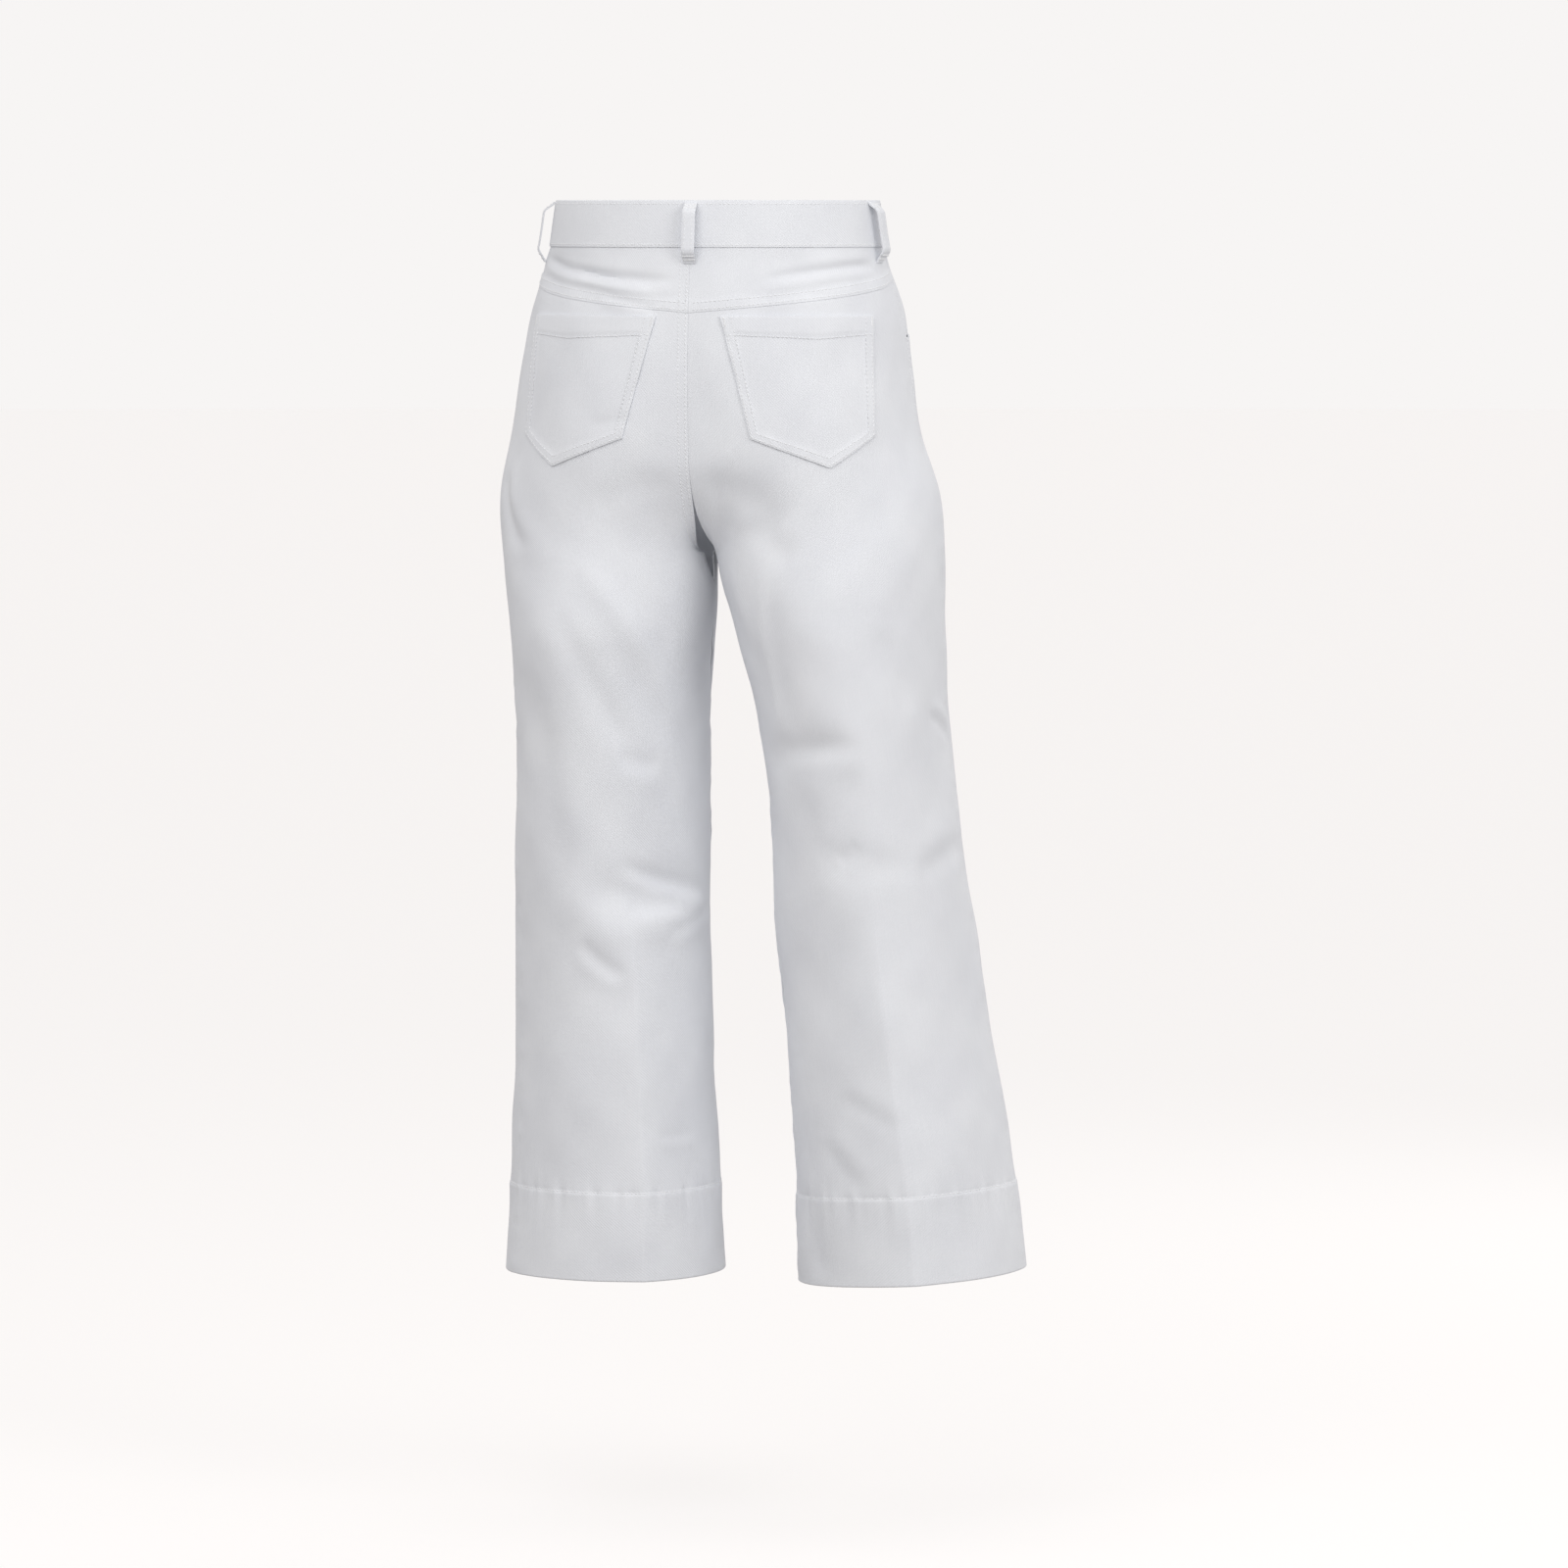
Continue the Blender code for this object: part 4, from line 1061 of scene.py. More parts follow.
def curve_rows(top, bottom, count):
    """Heights that crowd towards the bottom as a quarter ellipse's even steps do."""
    angle = np.linspace(np.pi / 2.0, 0.0, count)
    return bottom + (top - bottom) * (1.0 - np.cos(angle))


def leg_rows(count):
    """Heights from below the crotch to the hem's edge, crowded at the hem's row of sewing."""
    shin = np.linspace(CROTCH - BELOW_CROTCH, ABOVE_HEM + HEM_ROW_ABOVE + 0.001, count)
    row = np.linspace(ABOVE_HEM + HEM_ROW_ABOVE, ABOVE_HEM - HEM_ROW_BELOW, 12)
    hem = np.linspace(ABOVE_HEM - HEM_ROW_BELOW - 0.003, HEM + HEM_EDGE_ROUND, 24)
    return np.concatenate([shin, row, hem])


def hem_turn(rows):
    """Heights and lifts of both faces of a panel whose hem is turned up inside.

    The outer face runs down at no lift, round the fold in a half circle and up again two layers
    in. The inner face runs beside it one layer in.
    """
    thick = bpy.context.scene.jeans_cloth.thickness
    angle = np.linspace(0.0, np.pi, 7)
    radius = CLOTH
    fold_outer = (HEM + radius - radius * np.sin(angle), -radius + radius * np.cos(angle))
    small = radius - thick
    fold_inner = (HEM + radius - small * np.sin(angle), -radius + small * np.cos(angle))
    inside = np.linspace(HEM + TURN_CLEAR, ABOVE_HEM + TURN_CLEAR, 14)
    outer = np.concatenate([rows, fold_outer[0], inside])
    inner = np.concatenate([rows, fold_inner[0], inside])
    outer_lift = np.concatenate([0.0 * rows, fold_outer[1], 0.0 * inside - 2.0 * radius])
    inner_lift = np.concatenate([0.0 * rows - thick, fold_inner[1], 0.0 * inside - radius - small])
    return outer, inner, outer_lift, inner_lift


def leg_panel(name, side, start, end, rows, crease, top_drop=None):
    """A leg panel: its cloth from one seam to the other, turned up inside at the hem.

    "start" and "end" give the seams' angles at a height. Columns crowd at the pressed crease,
    and one lies on it all the way down, as both parts beside it are stretched to meet there.
    """
    outer, inner, outer_lift, inner_lift = hem_turn(rows)
    first, last = start(outer)[:, None], end(outer)[:, None]
    share = edge_steps(LEG_COLUMNS)
    middle = share[np.argmin(np.abs(share - 0.5))]
    share = np.sort(np.concatenate([share, middle + np.array(NEAR_CREASE)]))
    at_crease = np.clip((crease - first) / (last - first), *PLACE_OF_CREASE)
    before = share * at_crease / middle
    after = 1.0 - (1.0 - share) * (1.0 - at_crease) / (1.0 - middle)
    around = first + (last - first) * np.where(share <= middle, before, after)
    height = np.broadcast_to(outer[:, None], around.shape)
    inner_height = np.broadcast_to(inner[:, None], around.shape)
    if top_drop is not None:
        height = height + top_drop(around, height)
        inner_height = inner_height + top_drop(around, inner_height)
    from_start = (around - first) * METRES_A_DEGREE
    from_end = (last - around) * METRES_A_DEGREE
    dip = turned_edge(from_start) + turned_edge(from_end)
    outer_lift = outer_lift[:, None] + dip * (np.arange(len(outer)) < len(rows))[:, None]
    return cloth_piece(name, side, around, height, outer_lift, inner_lift[:, None], inner_height)


def seam_gap(side, around, height):
    """Half a seam's gap as an angle."""
    return degrees_for(side, around, height, SEAM_GAP / 2.0)


def inseam_gap(side, around, height):
    """Half a seam's gap below the crotch. Above it the mid plane keeps the gap."""
    return np.where(height < CROTCH - AT_CROTCH, seam_gap(side, around, height), 0.0)


def back_panel(side, word):
    """A back leg panel, from the side seam to the centre back and the inseam."""
    top = YOKE_AT_BACK - SEAM_GAP
    seat = np.linspace(top, CROTCH + RISE_CURVE_BACK, 42)[:-1]
    curve = curve_rows(CROTCH + RISE_CURVE_BACK, CROTCH, 34)
    rows = np.concatenate([top - np.array(NEAR_YOKE), seat[1:], curve, leg_rows(LEG_ROWS)])

    def start(height):
        """The side seam."""
        seam = side_seam(np.asarray(height, float))
        return seam + seam_gap(side, seam, height)

    def end(height):
        """The centre back, and below the crotch the inseam."""
        inseam = np.full(np.shape(height), 180.0)
        return inseam - inseam_gap(side, inseam, np.asarray(height, float))

    def top_drop(around, height):
        """How far the panel's top follows the yoke's seam, fading out down the seat."""
        fade = smooth((height - BLEND_TOP) / (top - BLEND_TOP))
        return (yoke_seam(around) - SEAM_GAP - top) * fade

    return leg_panel(f"back_{word}_cloth", side, start, end, rows, PRESSED_AT, top_drop)


def scoop_edge(side, height):
    """The pocket mouth: a quarter ellipse from the waistband down to the side seam."""
    at_top = around_at(side, SCOOP_FROM_CENTRE, UNDER_BAND, False)
    rise = np.clip((height - SCOOP_BOTTOM) / (UNDER_BAND - SCOOP_BOTTOM), 0.0, 1.0)
    seam = side_seam(height)
    return seam + (at_top - seam) * np.sqrt(rise * (2.0 - rise))


def front_panel(side, word):
    """A front leg panel, from the centre front and the inseam to the pocket mouth and side."""
    mouth = curve_rows(UNDER_BAND, SCOOP_BOTTOM, 34)[:-1]
    belly = np.linspace(SCOOP_BOTTOM, CROTCH + RISE_CURVE_FRONT, 27)[:-1]
    curve = curve_rows(CROTCH + RISE_CURVE_FRONT, CROTCH, 38)
    rows = np.concatenate([mouth, belly, curve, leg_rows(LEG_ROWS)])

    def start(height):
        """The centre front, and below the crotch the inseam."""
        inseam = np.full(np.shape(height), -180.0)
        return inseam + inseam_gap(side, inseam, np.asarray(height, float))

    def end(height):
        """The pocket mouth, and below it the side seam."""
        edge = scoop_edge(side, np.asarray(height, float))
        return edge - seam_gap(side, edge, height)

    return leg_panel(f"front_{word}_cloth", side, start, end, rows, -PRESSED_AT)


def yoke(side, word):
    """The back yoke, whose lower edge is turned under and lapped over the panel."""
    drop = edge_steps(20)[:, None]
    start = side_seam(np.array(YOKE_AT_SIDE))
    around = start + seam_gap(side, start, np.array(YOKE_AT_SIDE))
    around = around + (180.0 - around) * edge_steps(90)[None, :] + 0.0 * drop
    height = UNDER_BAND + (yoke_seam(around) - UNDER_BAND) * drop
    above_seam = height - yoke_seam(around)
    felled = FELLED_HIGH * smooth((TURNED_WIDE - above_seam) / TURNED_EASE)
    lift = felled + turned_edge(above_seam) + turned_edge((around - around[0, 0]) * METRES_A_DEGREE)
    return cloth_piece(f"yoke_{word}_cloth", side, around, height, lift, -CLOTH)


def pocket_facing(side, word):
    """Cloth behind the front pocket's mouth, one layer further in than the front.

    It is sewn in under the waistband, where it lies close behind the front. From the mouth to
    the side seam it eases up to the face of the cloth, from the mouth's lower corner up.
    """
    level = np.concatenate([
        np.linspace(UNDER_BAND, SCOOP_BOTTOM + NEAR_SCOOP_BOTTOM, 40),
        np.linspace(SCOOP_BOTTOM + NEAR_SCOOP_BOTTOM - 0.001, SCOOP_BOTTOM, 8),
        np.linspace(SCOOP_BOTTOM - 0.003, FACING_BOTTOM, 12),
    ])[:, None]
    first = around_at(side, SCOOP_FROM_CENTRE - FACING_BEHIND_FRONT, UNDER_BAND, False)
    last = -seam_gap(side, 0.0, SCOOP_BOTTOM)
    around = first + (last - first) * np.linspace(0.0, 1.0, 60)[None, :] + 0.0 * level
    height = np.broadcast_to(level, around.shape)
    edge = scoop_edge(side, level)
    past_mouth = (around - edge) / np.maximum(last - edge, 1.0)
    above_corner = smooth((level - SCOOP_BOTTOM) / FACING_CORNER_EASE)
    behind = BEHIND_GAP * smooth((UNDER_BAND - FACING_SEWN_IN - level) / FACING_SEWN_EASE)
    lift = -(CLOTH + behind) * (1.0 - smooth(past_mouth) * above_corner)
    return cloth_piece(f"pocket_facing_{word}_cloth", side, around, height, lift, lift - CLOTH)


def pocket_place(across, down):
    """A place on the back pocket, as distance from the centre back and height.

    "across" goes from the inner to the outer edge and "down" from the mouth to the foot, which
    is a line bent at the pocket's point.
    """
    inner_top, outer_top = np.array(POCKET_INNER_TOP), np.array(POCKET_OUTER_TOP)
    inner_foot, outer_foot = np.array(POCKET_INNER_BOTTOM), np.array(POCKET_OUTER_BOTTOM)
    point = np.array(POCKET_POINT)
    bent = (point[0] - inner_foot[0]) / (outer_foot[0] - inner_foot[0])
    to_point = np.clip(across / bent, 0.0, 1.0)[..., None]
    past_point = np.clip((across - bent) / (1.0 - bent), 0.0, 1.0)[..., None]
    foot = inner_foot + (point - inner_foot) * to_point + (outer_foot - point) * past_point
    mouth = inner_top + (outer_top - inner_top) * across[..., None]
    place = mouth + (foot - mouth) * down[..., None]
    return place[..., 0], place[..., 1]


def from_pocket_edge(across, down):
    """Metres from a place on the back pocket to its nearest sewn edge."""
    from_side = np.minimum(across, 1.0 - across) * POCKET_WIDE
    return np.minimum(from_side, (1.0 - down) * POCKET_DEEP)


def pocket_surface(side, across, down, lift):
    """Points and normals of the pocket, lifted off the back panel.

    The mouth stands off in the middle, where use has stretched it, and a faint dish follows.
    """
    distance, height = pocket_place(across, down)
    around = around_at(side, distance, height, True)
    mouth = np.sin(np.pi * np.clip(across, 0.0, 1.0)) ** 2 * np.exp(-(down / POCKET_FULL_SHARE) ** 2)
    fullness = bpy.context.scene.jeans_cloth.pocket_fullness * mouth
    ripple = POCKET_PUCKER_HIGH * puckering(1.1 * distance + 0.8 * height, 3.0 + side)
    from_edge = np.clip(from_pocket_edge(across, down), 0.0, None)
    ripple = ripple * np.exp(-from_edge / POCKET_PUCKER_FADE)
    return surface(side, around, height, SEAM_GAP + lift + fullness + ripple)


def back_pocket(side, word):
    """A five-sided patch with its edges turned under, so it is thickest along them."""
    across = edge_steps(52)[None, :]
    down = edge_steps(46)[:, None]
    across, down = np.broadcast_arrays(across, down)
    edge = from_pocket_edge(across, down)
    from_mouth = down * POCKET_DEEP
    turned = POCKET_TURNED_HIGH * smooth((TURNED_WIDE - edge) / TURNED_EASE)
    mouth_hem = MOUTH_HEM_HIGH * smooth((MOUTH_HEM_WIDE - from_mouth) / MOUTH_HEM_EASE)
    lift = CLOTH + np.maximum(turned, mouth_hem) + turned_edge(edge) + turned_edge(from_mouth)
    outer = pocket_surface(side, across, down, lift)[0]
    inner = pocket_surface(side, across, down, POCKET_SEAM_LIFT)[0]
    return add_shell(f"back_pocket_{word}_cloth", outer, inner, pocket_place(across, down), side > 0)


def fly_shield():
    """The strip behind the centre front, across the mid plane."""
    level = np.linspace(UNDER_BAND, FLY_BOTTOM, 40)[:, None]
    right = around_at(-1, np.linspace(FLY_RIGHT, 0.0, 14)[None, :-1], level, False)
    left = around_at(1, np.linspace(0.0, FLY_LEFT, 7)[None, :], level, False)
    faces_of_cloth = []
    for lift in (-CLOTH - BEHIND_GAP, -2.0 * CLOTH - BEHIND_GAP):
        halves = [surface(-1, right, level, lift)[0], surface(1, left, level, lift)[0]]
        faces_of_cloth.append(np.concatenate(halves, axis=1))
    across = np.concatenate([-right, left], axis=1) * METRES_A_DEGREE
    return add_shell("fly_shield_cloth", *faces_of_cloth, (across, level), False)


def band_path(level, lift):
    """Points and normals round the waistband, from its left end to its right end under it.

    Each column is a place on one half: first past the centre front, then round the left half by
    even angles, round the right half, and last past the centre front again a layer further in.
    """
    level = np.asarray(level, float)[:, None]
    lift = np.broadcast_to(np.asarray(lift, float).reshape(-1, 1), (level.shape[0], 1))
    over = around_at(-1, np.linspace(LAP_OVER, 0.0, 10)[None, :-1] + 0.0 * level, level, False)
    left = np.linspace(-180.0, 180.0, 170)[None, :] + 0.0 * level
    slope = around_at(-1, LAP_SLOPE_START, level, False)
    right = 180.0 + (slope - 180.0) * np.linspace(0.0, 1.0, 150)[None, 1:]
    distance = np.linspace(LAP_SLOPE_START, 0.0, 26)[None, 1:-1] + 0.0 * level
    sloping = around_at(-1, distance, level, False)
    drop = smooth((LAP_SLOPE_START - distance) / (LAP_SLOPE_START - LAP_SLOPE_END))
    under = around_at(1, np.linspace(0.0, LAP_UNDER, 20)[None, :] + 0.0 * level, level, False)
    down = BAND_THICK + SEAM_GAP
    parts = [
        surface(-1, over, level, lift),
        surface(1, left, level, lift),
        surface(-1, right, level, lift),
        surface(-1, sloping, level, lift - down * drop),
        surface(1, under, level, lift - down),
    ]
    return tuple(np.concatenate(pair, axis=1) for pair in zip(*parts))


def waistband():
    """One band folded along its top: a hairpin of cloth, carried round the waist."""
    thick = bpy.context.scene.jeans_cloth.thickness
    radius = BAND_THICK / 2.0
    small = radius - thick
    up = BAND_BOTTOM + (BAND_TOP - radius - BAND_BOTTOM) * np.concatenate(
        [[0.0, 0.015, 0.04, 0.07], np.linspace(0.1, 1.0, 12)])
    angle = np.linspace(0.0, np.pi, 9)[1:-1]
    top = BAND_TOP - radius
    bulge = BAND_BULGE * np.sin(np.pi * (up - BAND_BOTTOM) / (top - BAND_BOTTOM))
    dip = turned_edge(up - BAND_BOTTOM)
    outer_level = np.concatenate([up, top + radius * np.sin(angle), up[::-1]])
    outer_lift = np.concatenate([radius + bulge + dip, radius * np.cos(angle), 0.0 * up - radius])
    inner_level = np.concatenate([up, top + small * np.sin(angle), up[::-1]])
    inner_lift = np.concatenate([small + 0.0 * up, small * np.cos(angle), 0.0 * up - small])
    outer = band_path(outer_level, outer_lift)[0]
    inner = band_path(inner_level, inner_lift)[0]
    run = np.cumsum(np.linalg.norm(np.diff(outer[:1], axis=1, prepend=outer[:1, :1]), axis=-1), 1)
    return add_shell("waistband_cloth", outer, inner, (run, outer_level[:, None]), True)


def loop_path(side, distance, from_back, share, across, lift):
    """Points and normals of a belt loop, tacked above and below the band and bowed between.

    "share" goes down it and "across" from its middle. Its ends are folded under.
    """
    share, across = np.broadcast_arrays(share, across)
    level = LOOP_TOP + (LOOP_BOTTOM - LOOP_TOP) * share
    bow = smooth(share / LOOP_TACK_SHARE) * smooth((1.0 - share) / LOOP_TACK_SHARE)
    settle = smooth((BAND_BOTTOM - level) / (BAND_BOTTOM - LOOP_BOTTOM))
    lowest = BAND_THICK / 2.0 + SEAM_GAP + LOOP_STANDS_OFF * bow
    lowest = lowest - BAND_THICK / 2.0 * settle * (1.0 - bow)
    middle = around_at(side, distance, 0.0, from_back)
    around = middle + degrees_for(side, middle, level, 1.0) * across
    over_middle = np.abs(around) > 180.0
    mirrored = np.where(over_middle, np.sign(around) * 360.0 - around, around)
    here = surface(side, np.clip(around, -180.0, 180.0), level, lowest + lift)
    there = surface(-side, mirrored, level, lowest + lift)
    return tuple(np.where(over_middle[..., None], b, a) for a, b in zip(here, there))


def belt_loop(name, side, distance, from_back):
    """A strap with rounded edges, thicker where its ends are folded under."""
    share = edge_steps(46, NEAR_LOOP_END)[:, None]
    across = edge_steps(9, NEAR_LOOP_SIDE)[None, :] - 0.5
    from_edge = (0.5 - np.abs(across)) * LOOP_WIDE
    rounded = -LOOP_EDGE_DIP * np.exp(-(from_edge / EDGE_DIP_WIDE) ** 2)
    ends = np.minimum(share, 1.0 - share) * LOOP_LONG
    folded = LOOP_FOLD_HIGH * smooth((LOOP_FOLD_WIDE - ends) / LOOP_FOLD_EASE)
    folded = folded - LOOP_EDGE_DIP * np.exp(-(ends / LOOP_END_DIP_WIDE) ** 2)
    across = across * LOOP_WIDE
    outer = loop_path(side, distance, from_back, share, across, STRAP_THICK + rounded + folded)[0]
    inner = loop_path(side, distance, from_back, share, across, 0.0)[0]
    return add_shell(f"{name}_cloth", outer, inner, (across, share * LOOP_LONG), side < 0)


LOOPS = (
    ("loop_back", 1, 0.0, True),
    ("loop_side_left", 1, SIDE_LOOP_FROM_BACK, True),
    ("loop_side_right", -1, SIDE_LOOP_FROM_BACK, True),
    ("loop_front_left", 1, FRONT_LOOP_FROM_FRONT, False),
    ("loop_front_right", -1, FRONT_LOOP_FROM_FRONT, False),
)


# ---------------------------------------------------------------- rows of sewing

def double_row():
    """Distances of a double row from the edge that it follows."""
    sewing = bpy.context.scene.jeans_sewing
    return sewing.from_edge, sewing.from_edge + sewing.rows_apart


def back_rows(side):
    """Sewing of a back panel: hem, and the short row down the top of the side seam."""
    around = np.linspace(side_seam(ABOVE_HEM), 180.0, 160)
    hem = surface(side, around, ABOVE_HEM)
    height = np.linspace(*SIDE_ROW_ENDS, 60)
    seam = side_seam(height)
    beside = seam + degrees_for(side, seam, height, bpy.context.scene.jeans_sewing.from_edge)
    return [hem, surface(side, beside, height)]


def front_rows(side):
    """Sewing of a front panel: hem, pocket mouth, centre front, and the fly on the left."""
    around = np.linspace(-180.0, side_seam(ABOVE_HEM), 160)
    rows = [surface(side, around, ABOVE_HEM)]
    height = curve_rows(ROWS_FROM_BAND, SCOOP_BOTTOM, 60)
    edge = scoop_edge(side, height)
    for away in double_row():
        inside = edge - degrees_for(side, edge, height, away)
        turned_in = away * smooth((edge + MOUTH_ROW_TURN) / MOUTH_ROW_TURN)
        rows.append(surface(side, inside, height - turned_in))
    return rows + fly_rows() if side > 0 else rows


def fly_rows():
    """Down the left half: a double row below the fly, the fly's double curve, and its edge row.

    The curve runs straight down and ends in a quarter ellipse at the centre front.
    """
    sewing = bpy.context.scene.jeans_sewing
    below_fly = np.linspace(*BELOW_FLY_ENDS, 50)
    places = [(away, below_fly) for away in double_row()]
    turn = np.linspace(0.0, np.pi / 2.0, 30)
    for inset in (0.0, sewing.rows_apart):
        wide, low = FLY_WIDE - inset, FLY_BOTTOM + inset
        straight = np.linspace(ROWS_FROM_BAND, low + FLY_CURVE_HIGH, 40)
        curve = low + FLY_CURVE_HIGH - FLY_CURVE_HIGH * np.sin(turn)
        distance = np.concatenate([0.0 * straight + wide, wide * np.cos(turn)])
        places.append((distance, np.concatenate([straight, curve])))
    places.append((sewing.from_edge, np.linspace(ROWS_FROM_BAND, FLY_BOTTOM, 50)))
    return [surface(1, around_at(1, away, height, False), height) for away, height in places]


def seat_rows():
    """The double row beside the centre back seam, down the left half."""
    height = np.linspace(*SEAT_ROW_ENDS, 120)
    above_seam = height - YOKE_AT_BACK
    on_yoke = FELLED_HIGH * smooth(above_seam / FELLED_EASE) * (above_seam < TURNED_WIDE)
    return [surface(1, around_at(1, away, height, True), height, on_yoke) for away in double_row()]


def yoke_rows(side):
    """The double row above the yoke's lower edge."""
    around = np.linspace(*YOKE_ROW_ENDS, 120)
    return [surface(side, around, yoke_seam(around) + away, FELLED_HIGH) for away in double_row()]


def pocket_rows(side):
    """Double row round a back pocket, and the row under its mouth."""
    rows = []
    for away in double_row():
        share = 2.0 * away / (POCKET_WIDE + POCKET_DEEP)
        straight = np.linspace(0.0, 1.0 - share, 40)
        foot = np.linspace(share, 1.0 - share, 60)
        across = np.concatenate([0.0 * straight + share, foot, 0.0 * straight + 1.0 - share])
        down = np.concatenate([straight, 0.0 * foot + 1.0 - share, straight[::-1]])
        rows.append(pocket_surface(side, across, down, CLOTH + POCKET_TURNED_HIGH))
    across = np.linspace(*POCKET_MOUTH_ROW_ENDS, 60)
    down = 0.0 * across + POCKET_MOUTH_ROW_SHARE
    rows.append(pocket_surface(side, across, down, CLOTH + FELLED_HIGH))
    return rows


def pocket_tacks(side):
    """Bar tacks at both ends of a back pocket's mouth."""
    down = np.linspace(POCKET_TACK_FROM, POCKET_TACK_TO, 12)
    lift = CLOTH + MOUTH_HEM_HIGH
    return [pocket_surface(side, 0.0 * down + at, down, lift) for at in POCKET_TACK_AT]


def band_rows():
    """A row below the band's top, one above its lower edge, and one across its left end."""
    away = bpy.context.scene.jeans_sewing.from_edge
    lift = BAND_THICK / 2.0
    rows = []
    for level in (BAND_TOP - away - 0.001, BAND_BOTTOM + away):
        points, normals = band_path([level], [lift])
        rows.append((points[0, BAND_ROW], normals[0, BAND_ROW]))
    level = np.linspace(BAND_TOP - away, BAND_BOTTOM + away, 20)
    around = around_at(-1, np.full(level.shape, LAP_OVER - away), level, False)
    rows.append(surface(-1, around, level, lift))
    return rows


def loop_rows(side, distance, from_back):
    """Two rows down a belt loop."""
    share = np.linspace(*LOOP_ROW_ENDS, 60)
    ends = np.minimum(share, 1.0 - share)
    folded = LOOP_FOLD_HIGH * smooth((LOOP_ROW_FOLD - ends) / LOOP_ROW_FOLD_EASE)
    lift = STRAP_THICK + folded - LOOP_ROW_SUNK
    return [loop_path(side, distance, from_back, share, 0.0 * share + across, lift)
            for across in (-LOOP_ROW_FROM_MIDDLE, LOOP_ROW_FROM_MIDDLE)]


def loop_tacks(side, distance, from_back):
    """Bar tacks across both ends of a belt loop."""
    across = np.linspace(*LOOP_TACK_ENDS, 20) * LOOP_WIDE
    lift = STRAP_THICK + LOOP_FOLD_HIGH
    return [loop_path(side, distance, from_back, 0.0 * across + share, across, lift)
            for share in LOOP_TACK_AT]


def buttonhole_path():
    """A slot with a round end at the button, worked all round: two sides and a half circle."""
    half, wide = BUTTONHOLE_HALF, BUTTONHOLE_WIDE
    turn = np.linspace(-np.pi / 2.0, np.pi / 2.0, 14)
    straight = np.linspace(-half * BUTTONHOLE_PAST_CENTRE, half, 20)
    out = np.concatenate([straight, half + wide * np.cos(turn), straight[::-1]])
    up = np.concatenate([np.full(20, -wide), wide * np.sin(turn), np.full(20, wide)])
    around = around_at(-1, np.abs(out), up, False)
    right = surface(-1, around, up, BAND_THICK / 2.0)
    left = surface(1, around_at(1, np.abs(out), up, False), up, BAND_THICK / 2.0)
    past = (out < 0.0)[:, None]
    return tuple(np.where(past, b, a) for a, b in zip(right, left))


# ---------------------------------------------------------------- operators

class JeansLegPanels(bpy.types.Operator):
    """Makes the two back and two front leg panels, with their sewing."""
    bl_idname = "jeans.leg_panels"
    bl_label = "Leg panels"

    def execute(self, context):
        for side, word in SIDES:
            back = back_panel(side, word)
            back_sewing = sew(f"back_{word}_sewing", back_rows(side) + (seat_rows() if side > 0 else []))
            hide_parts(f"back_{word}")
            front = front_panel(side, word)
            front_sewing = sew(f"front_{word}_sewing", front_rows(side))
            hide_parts(f"front_{word}")
        return {"FINISHED"}


class JeansYokes(bpy.types.Operator):
    """Makes the two back yokes, with the double row above their lower edges."""
    bl_idname = "jeans.yokes"
    bl_label = "Yokes"

    def execute(self, context):
        for side, word in SIDES:
            piece = yoke(side, word)
            sewing = sew(f"yoke_{word}_sewing", yoke_rows(side))
            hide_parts(f"yoke_{word}")
        return {"FINISHED"}


class JeansPockets(bpy.types.Operator):
    """Makes the back pockets and the facings behind the front pockets' mouths."""
    bl_idname = "jeans.pockets"
    bl_label = "Pockets"

    def execute(self, context):
        for side, word in SIDES:
            patch = back_pocket(side, word)
            sewing = sew(f"back_pocket_{word}_sewing", pocket_rows(side), pocket_tacks(side))
            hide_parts(f"back_pocket_{word}")
            facing = pocket_facing(side, word)
            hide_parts(f"pocket_facing_{word}")
        return {"FINISHED"}


class JeansWaistband(bpy.types.Operator):
    """Makes the folded waistband, with its sewing and buttonhole."""
    bl_idname = "jeans.waistband"
    bl_label = "Waistband"

    def execute(self, context):
        band = waistband()
        sewing = sew("waistband_sewing", band_rows())
        hole = sew("buttonhole_sewing", [], [buttonhole_path()])
        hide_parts("waistband")
        return {"FINISHED"}


class JeansBeltLoops(bpy.types.Operator):
    """Makes the five belt loops, with their rows and bar tacks."""
    bl_idname = "jeans.belt_loops"
    bl_label = "Belt loops"

    def execute(self, context):
        for name, side, distance, from_back in LOOPS:
            strap = belt_loop(name, side, distance, from_back)
            rows = loop_rows(side, distance, from_back)
            sewing = sew(f"{name}_sewing", rows, loop_tacks(side, distance, from_back))
            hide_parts(name)
        return {"FINISHED"}


class JeansFlyShield(bpy.types.Operator):
    """Makes the strip of cloth behind the fly."""
    bl_idname = "jeans.fly_shield"
    bl_label = "Fly shield"

    def execute(self, context):
        strip = fly_shield()
        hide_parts("fly_shield")
        return {"FINISHED"}


